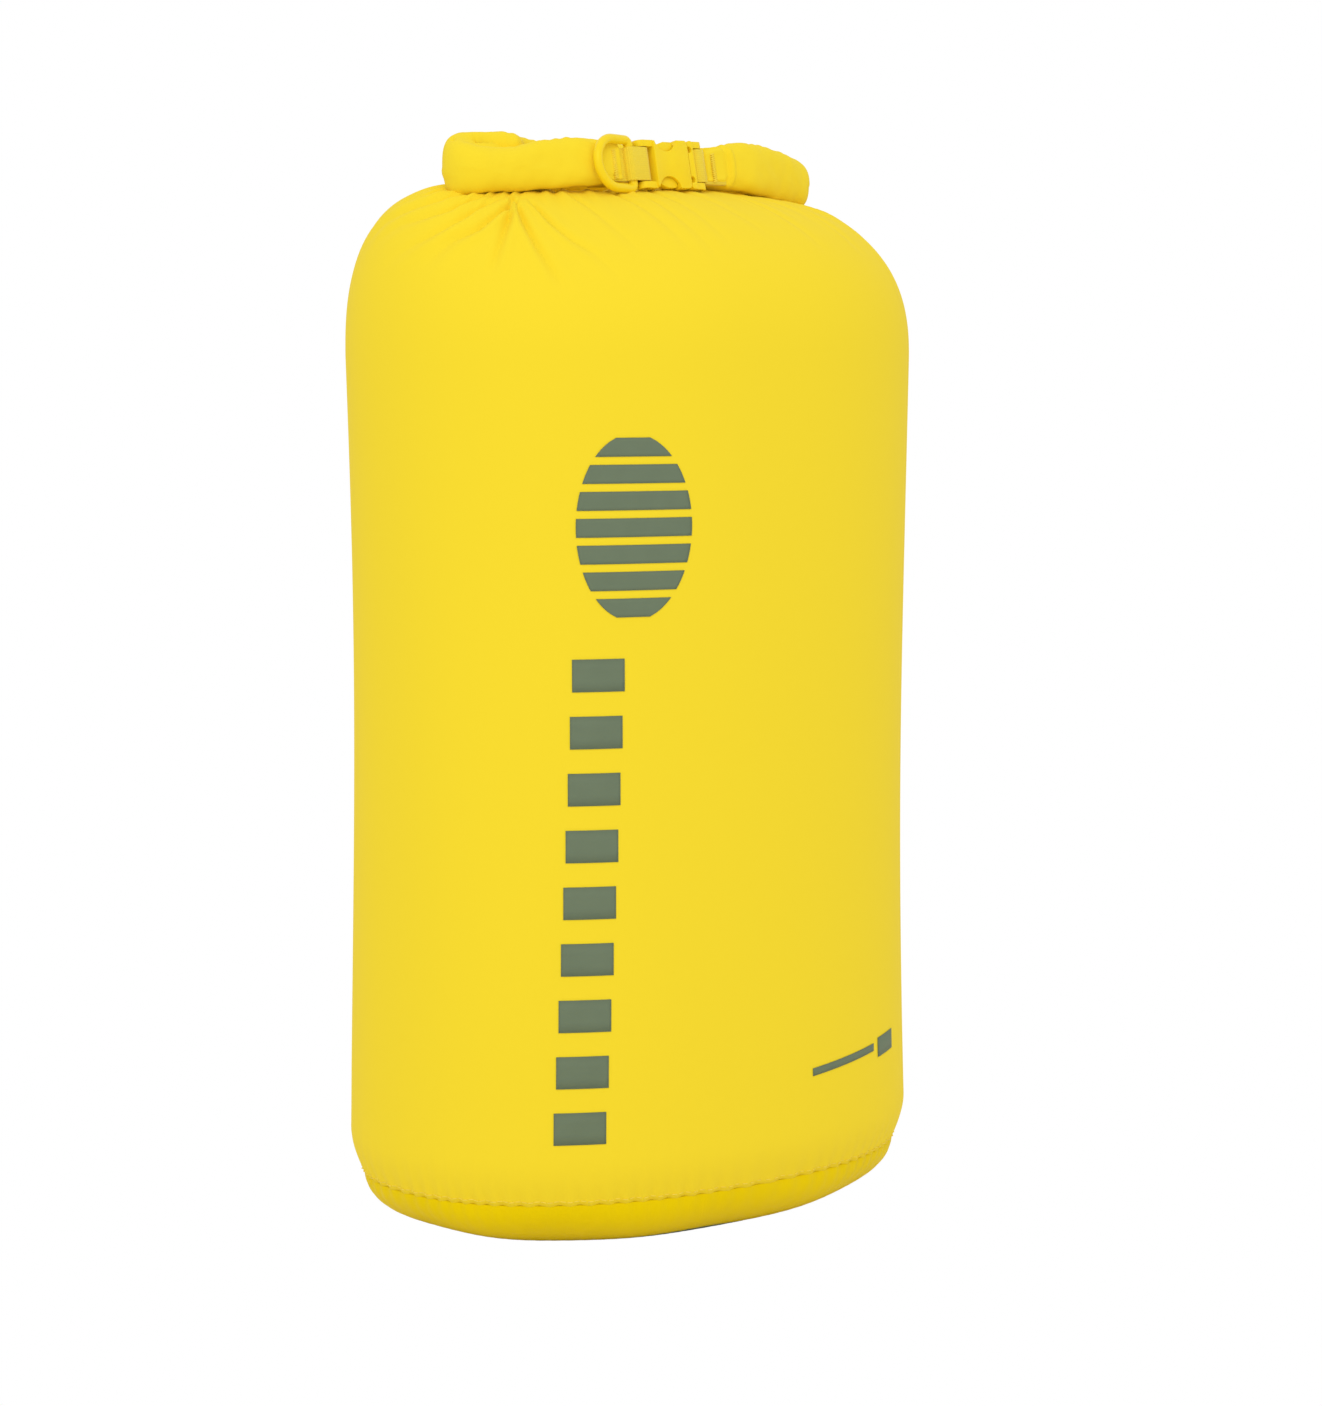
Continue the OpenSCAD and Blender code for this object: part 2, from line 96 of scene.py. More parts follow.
class SackSizes(bpy.types.PropertyGroup):
    """Sizes of the soft parts."""

    body_width: length("Body width", "Width of the filled oval body", BODY_HIGH.x - BODY_LOW.x)
    body_depth: length("Body depth", "Depth of the filled oval body", BODY_HIGH.y - BODY_LOW.y)
    seam_height: length("Seam height", "Height of the base seam above the floor", BODY_LOW.z)
    seam_draw: length("Seam draw", "How far the base seam draws the body in", 0.006)
    full_height: length("Full height", "Height at which the wall reaches its full width", 0.044)
    shoulder_height: length("Shoulder height", "Height at which the shoulder starts to close", 0.390)
    crown_height: length("Crown height", "Height of the cloth under the roll's middle", ROLL_LOW.z + 0.0005)
    left_fall: length("Left fall", "How much lower the crown is under the roll's left end", 0.004)
    right_fall: length("Right fall", "How much lower the crown is under the roll's right end", 0.0065)
    neck_width: length("Neck half width", "Half width of the flat top of the shoulder", 0.090)
    neck_depth: length("Neck half depth", "Half depth of the flat top of the shoulder", 0.020)
    waist: bpy.props.FloatProperty(
        name="Waist", description="How much the filled wall narrows half way up", default=0.02, min=0, max=0.1
    )
    cloth: length("Cloth", "Thickness of the coated cloth", 0.0014)


class RollSizes(bpy.types.PropertyGroup):
    """Sizes of the rolled mouth and the D-ring."""

    bend_radius: length("Bend radius", "Middle radius of the roll's two end bends", 0.008)
    ease_radius: length("Ease radius", "Middle radius of the soft turns next to the buckle", 0.020)
    thickness: length("Thickness", "Thickness of the roll, front to back", 0.0135)
    puff: length("Puff", "How much thicker the roll is round its end bends", 0.0018)
    front: length("Front", "Distance from the buckle's middle plane back to the arms' front", -0.00015)
    ring_height: length("Ring height", "Outer height of the D-ring", 0.0262)
    ring_reach: length("Ring reach", "Outer reach of the ring from its straight bar", 0.024)
    ring_bar: length("Ring bar", "Thickness of the ring's bar", 0.0042)
    ring_rest: angle_value("Ring rest", "Angle by which the ring stands off the roll", 10)


class SackColours(bpy.types.PropertyGroup):
    """Colours of the finishes."""

    nylon: colour("Nylon", "Coated cloth", (0.86, 0.63, 0.002))
    ink: colour("Ink", "Screen print", (0.145, 0.19, 0.125))
    webbing: colour("Webbing", "Web tabs", (0.93, 0.70, 0.03))
    plastic: colour("Plastic", "Buckle and ring", (0.93, 0.68, 0.012))
    thread: colour("Thread", "Stitching", (0.93, 0.72, 0.08))
    tape: colour("Tape", "Seam tape and stiffener", (0.85, 0.72, 0.3))
    floor: colour("Floor", "Studio floor and backdrop", (0.9, 0.9, 0.9))


class StudioView(bpy.types.PropertyGroup):
    """Where the camera stands, and how bright the studio is."""

    azimuth: angle_value("Azimuth", "Side from which the sack is seen", 40)
    distance: length("Distance", "Distance from the sack's axis, on the floor", 1.7)
    height: length("Height", "Height of the camera", 0.40)
    pitch: angle_value("Pitch", "Angle by which the camera looks down", 5.65)
    pan: angle_value("Pan", "Angle by which the camera looks past the axis", 0.43)
    air: bpy.props.FloatProperty(name="Air", description="Strength of the light from all round", default=0.84)
    key_power: bpy.props.FloatProperty(
        name="Key", description="Power of the key light", default=14, unit="POWER"
    )
    lens: bpy.props.FloatProperty(
        name="Lens", description="Focal length", default=95.4, unit="CAMERA", min=10, max=400
    )


def sizes():
    return bpy.context.scene.sack_sizes


def colours():
    return bpy.context.scene.sack_colours


def roll_sizes():
    return bpy.context.scene.roll_sizes


# ---- Material helpers ----
def new_material(name):
    """An empty node material with a Principled surface."""
    material = bpy.data.materials.new(name)
    material.use_nodes = True
    return material, material.node_tree, material.node_tree.nodes["Principled BSDF"]


def add_node(tree, kind, settings=None, **inputs):
    """Adds a node, sets its properties, and sets or links its inputs by name, or as i0, i1 and so on."""
    node = tree.nodes.new(kind)
    for key, value in (settings or {}).items():
        setattr(node, key, value)
    for key, value in inputs.items():
        numbered = key[0] == "i" and key[1:].isdigit()
        socket = node.inputs[int(key[1:]) if numbered else key.replace("_", " ")]
        if isinstance(value, bpy.types.NodeSocket):
            tree.links.new(value, socket)
        else:
            socket.default_value = value
    return node


def math_node(tree, operation, a, b=0.0, c=0.0):
    """One step of arithmetic on values."""
    return add_node(tree, "ShaderNodeMath", {"operation": operation}, i0=a, i1=b, i2=c).outputs[0]


def bump(tree, surface, height, distance, strength=1.0):
    """Turns a height into the surface's normal."""
    node = add_node(tree, "ShaderNodeBump", Strength=strength, Distance=distance, Height=height)
    tree.links.new(node.outputs["Normal"], surface.inputs["Normal"])


def rgba(value, scale=1.0):
    return tuple(min(1.0, c * scale) for c in value) + (1.0,)


def two_tones(tree, surface, factor, value, low, high):
    """Colours the surface between value scaled by low and by high."""
    tone = add_node(tree, "ShaderNodeMix", {"data_type": "RGBA"}, Factor=factor)
    tone.inputs[6].default_value = rgba(value, low)
    tone.inputs[7].default_value = rgba(value, high)
    tree.links.new(tone.outputs[2], surface.inputs["Base Color"])


def uneven_shine(tree, surface, factor, low, high):
    """Varies the surface's roughness between low and high."""
    shine = add_node(tree, "ShaderNodeMapRange", Value=factor, To_Min=low, To_Max=high)
    tree.links.new(shine.outputs[0], surface.inputs["Roughness"])


def camera_sees(tree):
    """1 for the camera's own rays, and 0 for light on its way round."""
    return add_node(tree, "ShaderNodeLightPath").outputs["Is Camera Ray"]


THREAD_PITCH = 0.45 * MM


def weave_height(tree, coordinates, pitch=THREAD_PITCH):
    """Plain weave: threads one way rise where those the other way dip."""
    axes = add_node(tree, "ShaderNodeSeparateXYZ", Vector=coordinates)
    turn = math.pi / pitch
    waves = [math_node(tree, "SINE", math_node(tree, "MULTIPLY", axes.outputs[k], turn)) for k in (0, 1)]
    return math_node(tree, "MULTIPLY", waves[0], waves[1])


def coated_nylon(name="coated_nylon"):
    """Fine coated cloth: a satin yellow with a plain weave, and faint drifts of tone."""
    if name in bpy.data.materials:
        return bpy.data.materials[name]
    material, tree, surface = new_material(name)
    uv = add_node(tree, "ShaderNodeUVMap", {"uv_map": "cloth"}).outputs["UV"]
    place = add_node(tree, "ShaderNodeTexCoord").outputs["Object"]
    drift = add_node(tree, "ShaderNodeTexNoise", Vector=place, Scale=14.0, Detail=3.0).outputs["Fac"]
    two_tones(tree, surface, drift, colours().nylon, 0.95, 1.05)
    grain = add_node(tree, "ShaderNodeTexNoise", Vector=uv, Scale=900.0, Detail=2.0).outputs["Fac"]
    uneven_shine(tree, surface, grain, 0.42, 0.56)
    creases = add_node(tree, "ShaderNodeTexNoise", Vector=place, Scale=55.0, Detail=4.0).outputs["Fac"]
    height = math_node(tree, "MULTIPLY_ADD", creases, 3.0, weave_height(tree, uv))
    bump(tree, surface, height, 0.05 * MM, 0.5)
    surface.inputs["IOR"].default_value = 1.2
    surface.inputs["Specular IOR Level"].default_value = 0.4
    surface.inputs["Specular Tint"].default_value = (1.0, 0.8, 0.1, 1.0)
    surface.inputs["Sheen Weight"].default_value = 0.01
    surface.inputs["Sheen Roughness"].default_value = 0.4
    surface.inputs["Sheen Tint"].default_value = (1.0, 0.93, 0.6, 1.0)
    return material


RING_SHIFT = (0.018, 0.022)     # how far the printed ring's middle lies towards -X and -Y
RING_SIZE = (0.066, 0.054)      # its half width and half depth
RING_HOLE = 0.6                 # the share of those that is its hole


def printed_base(name="printed_base"):
    """The cloth of the base, with a plain ring of ink under it."""
    material = coated_nylon(name)
    tree = material.node_tree
    surface = tree.nodes["Principled BSDF"]
    place = add_node(tree, "ShaderNodeTexCoord").outputs["Object"]
    centred = add_node(tree, "ShaderNodeMapping", Vector=place)
    centred.inputs["Location"].default_value = (RING_SHIFT[0] / RING_SIZE[0], RING_SHIFT[1] / RING_SIZE[1], 0)
    centred.inputs["Scale"].default_value = (1 / RING_SIZE[0], 1 / RING_SIZE[1], 0)
    distance = add_node(tree, "ShaderNodeVectorMath", {"operation": "LENGTH"}, i0=centred.outputs[0])
    reach = distance.outputs["Value"]
    inside = math_node(tree, "LESS_THAN", reach, 1.0)
    ring = math_node(tree, "MULTIPLY", inside, math_node(tree, "GREATER_THAN", reach, RING_HOLE))
    cloth_colour = surface.inputs["Base Color"].links[0].from_socket
    mix = add_node(tree, "ShaderNodeMix", {"data_type": "RGBA"}, Factor=ring)
    tree.links.new(cloth_colour, mix.inputs[6])
    mix.inputs[7].default_value = rgba(colours().ink)
    tree.links.new(mix.outputs[2], surface.inputs["Base Color"])
    return material


def grained(name, value, roughness, grain_scale, grain_height, spread=0.04, specular=0.4):
    """A plain finish with its own grain: a drift of tone, and a fine bump on object coordinates."""
    material, tree, surface = new_material(name)
    place = add_node(tree, "ShaderNodeTexCoord").outputs["Object"]
    drift = add_node(tree, "ShaderNodeTexNoise", Vector=place, Scale=120.0, Detail=3.0).outputs["Fac"]
    two_tones(tree, surface, drift, value, 1 - spread, 1 + spread)
    grain = add_node(tree, "ShaderNodeTexNoise", Vector=place, Scale=grain_scale, Detail=4.0).outputs["Fac"]
    uneven_shine(tree, surface, grain, roughness - 0.06, roughness + 0.08)
    bump(tree, surface, grain, grain_height, 0.6)
    surface.inputs["Specular IOR Level"].default_value = specular
    surface.inputs["Specular Tint"].default_value = (1.0, 0.85, 0.35, 1.0)
    return material, tree, surface


def moulded_plastic():
    """Buckle plastic with a fine spark-eroded texture."""
    material, _, surface = grained("buckle_plastic", colours().plastic, 0.42, 1400.0, 0.06 * MM)
    surface.inputs["Subsurface Weight"].default_value = 0.08
    surface.inputs["Subsurface Radius"].default_value = (0.002, 0.0015, 0.0003)
    return material


def ring_plastic():
    """Smoother plastic of the D-ring."""
    return grained("ring_plastic", colours().plastic, 0.34, 700.0, 0.02 * MM)[0]


def screen_ink():
    """Flat screen print, a little uneven."""
    return grained("print_ink", colours().ink, 0.55, 1800.0, 0.03 * MM, spread=0.06, specular=0.25)[0]


def stitch_thread():
    """Twisted polyester thread."""
    return grained("thread", colours().thread, 0.6, 2600.0, 0.05 * MM, spread=0.08, specular=0.2)[0]


def hidden_tape():
    """Smooth translucent tape inside the seams, also the finish of the stiffener."""
    return grained("seam_tape", colours().tape, 0.3, 500.0, 0.02 * MM)[0]


RIB_PITCH = 0.9 * MM


def web_weave(lean):
    """Fine flat webbing: ribs across its width and the herringbone of its warp, with painted shade in the
    weave's dips and a painted highlight on its ribs.
    """
    material, tree, surface = new_material("webbing")
    place = add_node(tree, "ShaderNodeTexCoord").outputs["Object"]
    turned = add_node(tree, "ShaderNodeMapping", Vector=place)
    turned.inputs["Rotation"].default_value = (lean, 0, 0)
    axes = add_node(tree, "ShaderNodeSeparateXYZ", Vector=turned.outputs[0])
    turn = 2 * math.pi / RIB_PITCH
    warp = math_node(tree, "SINE", math_node(tree, "MULTIPLY", axes.outputs[2], turn))
    across = math_node(tree, "MULTIPLY", axes.outputs[0], turn * 1.3)
    weft = math_node(tree, "SINE", math_node(tree, "MULTIPLY_ADD", warp, 1.2, across))
    height = math_node(tree, "MULTIPLY_ADD", warp, 0.5, weft)
    # Painted shade and highlight: the web's colour follows the weave's height, darker in its dips and lighter
    # on its ribs.
    painted_rib_shading = add_node(tree, "ShaderNodeMapRange", Value=height, From_Min=-1.5, From_Max=1.5).outputs[0]
    two_tones(tree, surface, painted_rib_shading, colours().webbing, 0.9, 1.05)
    surface.inputs["Roughness"].default_value = 0.62
    surface.inputs["Specular IOR Level"].default_value = 0.25
    surface.inputs["Sheen Weight"].default_value = 0.2
    bump(tree, surface, height, 0.08 * MM, 0.7)
    return material


# ---- Mesh helpers ----
def object_mode():
    if bpy.context.object and bpy.context.object.mode != "OBJECT":
        bpy.ops.object.mode_set(mode="OBJECT")


def select_only(*objects):
    """Selects these objects alone, the first of them active."""
    object_mode()
    bpy.ops.object.select_all(action="DESELECT")
    for item in objects:
        item.select_set(True)
    bpy.context.view_layer.objects.active = objects[0]


def mesh_object(name, points, faces, material, uvs=None):
    """A smooth mesh from points and faces, with a cloth UV map in metres where one is given per point."""
    mesh = bpy.data.meshes.new(name)
    mesh.from_pydata([tuple(p) for p in points], [], faces)
    mesh.materials.append(material)
    mesh.shade_smooth()
    if uvs is not None:
        layer = mesh.uv_layers.new(name="cloth")
        corner_points = np.empty(len(mesh.loops), dtype=np.int32)
        mesh.loops.foreach_get("vertex_index", corner_points)
        layer.data.foreach_set("uv", np.asarray(uvs, dtype=np.float32)[corner_points].ravel())
    piece = bpy.data.objects.new(name, mesh)
    bpy.context.collection.objects.link(piece)
    return piece


def grid_faces(rows, columns, closed):
    """Quads of a grid of rows of points, closed round each row or open."""
    faces = []
    for r in range(rows - 1):
        for c in range(columns if closed else columns - 1):
            d = (c + 1) % columns
            faces.append((r * columns + c, r * columns + d, (r + 1) * columns + d, (r + 1) * columns + c))
    return faces


def two_skins(outer, inner, columns):
    """Points and faces of a bowl: rows of its outer skin from rim to pole, then its inner skin back."""
    inner_start = len(outer)
    points = np.concatenate([outer, inner, [outer[-columns:].mean(axis=0)], [inner[:columns].mean(axis=0)]])
    faces = grid_faces(inner_start // columns, columns, True)
    faces += [tuple(inner_start + p for p in f) for f in grid_faces(len(inner) // columns, columns, True)]
    rim = inner_start + len(inner) - columns
    for c in range(columns):
        d = (c + 1) % columns
        faces.append((rim + c, rim + d, d, c))
        faces.append((inner_start - columns + c, inner_start - columns + d, len(points) - 2))
        faces.append((inner_start + d, inner_start + c, len(points) - 1))
    return points, faces


def face_outwards(piece):
    """Turns every face of a closed piece outwards."""
    select_only(piece)
    bpy.ops.object.mode_set(mode="EDIT")
    bpy.ops.mesh.select_all(action="SELECT")
    bpy.ops.mesh.normals_make_consistent(inside=False)
    object_mode()


# ---- The filled sack's shape ----
OVAL_POWER = 2.2        # 2 is an ellipse, and more is squarer
SHOULDER_POWER = 2.5    # the same, for the shoulder seen from the front
SHOULDER_DEPTH_POWER = 1.8
NECK_REACH = 0.095      # half the roll's length, over which the crown's height changes
LEFT_SWELL = 0.18       # slope by which the cloth behind the roll's left end stands higher
POCKET_DEPTH = 0.005    # how far the cloth dips inside the roll's loop


def signed_power(value, power):
    return np.sign(value) * np.abs(value) ** power


def oval(turn, half_w, half_d):
    """X and Y of an oval's points at angles turn."""
    return (
        half_w * signed_power(np.cos(turn), 2 / OVAL_POWER),
        half_d * signed_power(np.sin(turn), 2 / OVAL_POWER),
    )


def plain_point(turn, climb):
    """Points of the smooth filled sack. Climb runs 0-1 over the seam, 1-2 up the wall, 2-3 over the
    shoulder and 3-4 inwards under the roll."""
    s = sizes()
    low = np.clip(climb, 0, 1)
    wall = np.clip(climb - 1, 0, 1)
    bend = np.clip(climb - 2, 0, 1) * math.pi / 2
    crown = np.clip(climb - 3, 0, 1)
    draw = s.seam_draw * (1 - np.sin(low * math.pi / 2))
    narrow = 1 - s.waist * np.sin(math.pi * wall)
    inwards = np.where(climb > 2, 1.0, 0.0)
    out_w = np.abs(np.cos(bend)) ** (2 / SHOULDER_POWER)
    out_d = np.abs(np.cos(bend)) ** (2 / SHOULDER_DEPTH_POWER)
    half_w = (s.body_width / 2 - draw) * narrow - inwards * (s.body_width / 2 - s.neck_width) * (1 - out_w)
    half_d = (s.body_depth / 2 - draw) * narrow - inwards * (s.body_depth / 2 - s.neck_depth) * (1 - out_d)
    x, y = oval(turn, half_w * (1 - 0.25 * crown), half_d * (1 - 0.95 * crown))
    along = x / NECK_REACH
    fall = np.where(along < 0, s.left_fall, s.right_fall) * along ** 2
    swell = LEFT_SWELL * np.clip(-along, 0, 1.2) ** 1.5 * (y + 0.012)
    top = s.crown_height - fall + swell
    rise = np.sin(bend) ** (2 / SHOULDER_POWER)
    z = s.seam_height + (s.full_height - s.seam_height) * low + (s.shoulder_height - s.full_height) * wall
    z = z + rise * (top - s.shoulder_height) - POCKET_DEPTH * crown ** 2
    return np.stack(np.broadcast_arrays(x, y, z), axis=-1)


def unit(vectors):
    return vectors / np.maximum(np.linalg.norm(vectors, axis=-1, keepdims=True), 1e-12)


def outward(turn, climb):
    """Outward direction of the smooth sack's surface."""
    step = 0.002
    across = plain_point(turn + step, climb) - plain_point(turn - step, climb)
    up = plain_point(turn, np.minimum(climb + step, 4)) - plain_point(turn, np.maximum(climb - step, 0))
    return unit(np.cross(across, up))


# Folds of the shoulder: the way each one runs as (degrees round the oval, climb), its depth and its width
# in mm. A positive depth has its lip on the left of its way down, and a negative one on the right.
FOLDS = (
    (((216, 2.80), (216, 2.69), (212, 2.45), (210, 2.31)), 3.2, 3.4),
    (((218, 2.78), (220, 2.65), (223, 2.48), (226, 2.33), (228, 2.24)), -3.0, 3.4),
    (((225, 2.74), (228, 2.62), (232, 2.51), (236, 2.43), (241, 2.26)), -1.8, 3.4),
    (((215, 2.76), (206, 2.60), (198, 2.51), (190, 2.33)), 2.8, 4.4),
    (((204, 2.74), (198, 2.64), (190, 2.52), (184, 2.44), (177, 2.32)), 2.0, 4.2),
    (((197, 2.79), (192, 2.71), (185, 2.64), (176, 2.54), (168, 2.40)), 2.0, 4.2),
    (((187, 2.84), (177, 2.68), (166, 2.52), (160, 2.34)), 1.6, 5.0),
    (((176, 2.88), (166, 2.70), (154, 2.52), (147, 2.30)), 1.8, 6.0),
    (((238, 2.84), (243, 2.56), (247, 2.36)), -0.8, 4.0),
    (((251, 2.86), (254, 2.60), (257, 2.34)), -1.0, 3.4),
    (((257, 2.86), (259, 2.56), (262, 2.30)), -0.9, 3.4),
    (((262, 2.86), (264, 2.58), (266, 2.36)), -0.8, 3.4),
    (((270, 2.88), (272, 2.62), (276, 2.40)), -0.7, 4.0),
    (((283, 2.86), (285, 2.60), (288, 2.36)), -1.2, 4.0),
    (((298, 2.84), (301, 2.60), (304, 2.38)), -1.4, 4.5),
    (((312, 2.84), (318, 2.62), (320, 2.36), (318, 2.16)), -2.0, 5.0),
    (((324, 2.86), (332, 2.66), (336, 2.42)), -1.8, 5.0),
    (((340, 2.86), (346, 2.66), (350, 2.40)), -1.8, 5.5),
    (((356, 2.88), (363, 2.66), (368, 2.42)), 1.6, 5.5),
    (((150, 2.88), (144, 2.62), (141, 2.36)), 1.5, 5.5),
    (((128, 2.88), (124, 2.60), (122, 2.34)), 1.2, 5.0),
    (((108, 2.88), (106, 2.60), (107, 2.36)), 1.2, 5.0),
    (((86, 2.88), (84, 2.58), (82, 2.34)), -1.0, 5.0),
    (((66, 2.88), (62, 2.60), (58, 2.36)), -1.3, 5.0),
    (((44, 2.88), (38, 2.62), (33, 2.38)), -1.4, 5.5),
    (((24, 2.88), (17, 2.64), (12, 2.40)), -1.6, 5.5),
)
FOLD_STEPS = 28


def fold_profile(q):
    """A sharp valley at q = 0 with a rounded lip on its positive side, q in widths."""
    valley = np.clip(1 - np.abs(q), 0, None) ** 1.6
    lip = np.exp(-(((q - 1.15) / 0.75) ** 2))
    far = np.exp(-(((q + 1.4) / 0.9) ** 2))
    return 0.55 * lip + 0.2 * far - valley


def fold_height(points, normals):
    """How far the shoulder's folds lift points of the smooth sack."""
    lift = np.zeros(len(points))
    for way, depth, width in FOLDS:
        knots = np.linspace(0, 1, len(way))
        steps = np.linspace(0, 1, FOLD_STEPS)
        turn = np.radians(np.interp(steps, knots, [p[0] for p in way]))
        climb = np.interp(steps, knots, [p[1] for p in way])
        path = plain_point(turn, climb)
        along = unit(np.gradient(path, axis=0))
        reach = 4 * width * MM
        near = np.flatnonzero(np.all((points > path.min(0) - reach) & (points < path.max(0) + reach), axis=1))
        gaps = points[near, None, :] - path[None, :, :]
        nearest = np.argmin((gaps ** 2).sum(-1), axis=1)
        gap = gaps[np.arange(len(near)), nearest]
        tangent = along[nearest]
        past = np.abs((gap * tangent).sum(-1))
        side = np.cross(normals[near], tangent)
        q = (gap * side).sum(-1) * np.sign(depth) / (width * MM * (0.55 + 0.75 * steps[nearest]))
        fade = (1 - steps[nearest] ** 1.5) * np.exp(-((past / (2 * width * MM)) ** 2))
        lift[near] += abs(depth) * MM * fade * fold_profile(q)
    return lift


PUCKER_PITCH = 0.0085
PUCKER_HEIGHT = 0.0006
PUCKER_REACH = 0.007


def puckers(turn, away):
    """The small gathers of the base seam's stitching, which fade away from it."""
    s = sizes()
    run = turn * (s.body_width + s.body_depth) / 4
    beat = np.sin(2 * math.pi * run / PUCKER_PITCH + 1.7 * np.sin(run * 61) + 0.9 * np.sin(run * 23))
    return PUCKER_HEIGHT * beat * np.exp(-away / PUCKER_REACH)


def wall_drift(points):
    """Slow dents of the filled wall."""
    x, y, z = points.T
    return MM * (
        0.5 * np.sin(x * 31 + z * 9 + 1.0) * np.sin(y * 27 + 2.0)
        + 0.35 * np.sin(z * 17 + x * 12 + 0.5)
        + 0.25 * np.sin(x * 70 - y * 55 + z * 14)
    )


def gathers(turn, climb):
    """Fine gathers that the roll's pinch draws into the shoulder."""
    near = np.clip((climb - 2.45) / 0.5, 0, 1) ** 2 * (1 - np.clip(climb - 3, 0, 1))
    wave = np.sin(47 * turn + 3 * np.sin(5 * turn)) + 0.6 * np.sin(83 * turn + 1.3 + 2 * np.sin(7 * turn))
    return 0.45 * MM * near * wave


def sack_point(turn, climb, lift=0.0):
    """Points of the filled sack with its folds, lifted off its surface."""
    turn, climb = (np.ravel(a) for a in np.broadcast_arrays(turn, climb))
    points = plain_point(turn, climb)
    normals = outward(turn, climb)
    away = np.abs(points[:, 2] - sizes().seam_height)
    height = fold_height(points, normals) + gathers(turn, climb) + puckers(turn, away)
    height = height + wall_drift(points) * np.clip(away / 0.05, 0, 1) * (1 - np.clip(climb - 2.6, 0, 1))
    return points + normals * (height + lift)[:, None]


# ---- Operators: the stage first, then each piece ----
class SACK_OT_stage(bpy.types.Operator):
    """Adds the camera, the white floor and air, and the key light"""

    bl_idname = "sack.stage"
    bl_label = "Studio"

    FLOOR_SIZE = 30
    KEY_PLACE = (-1.35, -1.45, 1.9)
    KEY_SIZE = 1.4
    KEY_AIM = (0, 0, 0.25)

    def execute(self, context):
        view = context.scene.studio_view
        self.camera(context, view)
        self.floor(context)
        self.air(context, view.air)
        self.key_light(view.key_power)
        context.scene.view_settings.view_transform = "Standard"
        return {"FINISHED"}

    def camera(self, context, view):
        bpy.ops.object.camera_add(
            location=(
                -math.sin(view.azimuth) * view.distance, -math.cos(view.azimuth) * view.distance, view.height
            ),
            rotation=(math.pi / 2 - view.pitch, 0, -view.azimuth - view.pan),
        )
        camera = context.object
        camera.data.lens = view.lens
        camera.data.sensor_width = 36
        camera.data.sensor_fit = "AUTO"
        camera.data.clip_start = 0.05
        context.scene.camera = camera

    def floor(self, context):
        """A floor that reads as plain white and reflects as pale paper."""
        bpy.ops.mesh.primitive_plane_add(size=self.FLOOR_SIZE, location=(0, 0, 0))
        floor = context.object
        floor.name = "studio_floor"
        material, tree, surface = new_material("studio_floor")
        paper = add_node(tree, "ShaderNodeEmission", Color=(1, 1, 1, 1), Strength=1.0)
        mix = add_node(
            tree, "ShaderNodeMixShader", i0=camera_sees(tree), i1=surface.outputs[0], i2=paper.outputs[0]
        )
        tree.links.new(mix.outputs[0], tree.nodes["Material Output"].inputs["Surface"])
        grain = add_node(tree, "ShaderNodeTexNoise", Scale=3.0).outputs["Fac"]
        two_tones(tree, surface, grain, colours().floor, 1.0, 1.02)
        surface.inputs["Roughness"].default_value = 0.9
        surface.inputs["Specular IOR Level"].default_value = 0.1
        floor.data.materials.append(material)

    def air(self, context, strength):
        """Even light from all round, which the camera sees as plain white."""
        world = bpy.data.worlds.new("studio_air")
        world.use_nodes = True
        tree = world.node_tree
        background = tree.nodes["Background"]
        background.inputs["Color"].default_value = (1, 1, 1, 1)
        seen = math_node(tree, "MULTIPLY_ADD", camera_sees(tree), 1 - strength, strength)
        tree.links.new(seen, background.inputs["Strength"])
        context.scene.world = world

    def key_light(self, power):
        """A large square lamp that faces the middle of the sack."""
        aim = Vector(self.KEY_AIM) - Vector(self.KEY_PLACE)
        bpy.ops.object.light_add(
            type="AREA", location=self.KEY_PLACE, rotation=aim.to_track_quat("-Z", "Y").to_euler()
        )
        lamp = bpy.context.object
        lamp.name = "key_light"
        lamp.data.size = self.KEY_SIZE
        lamp.data.energy = power


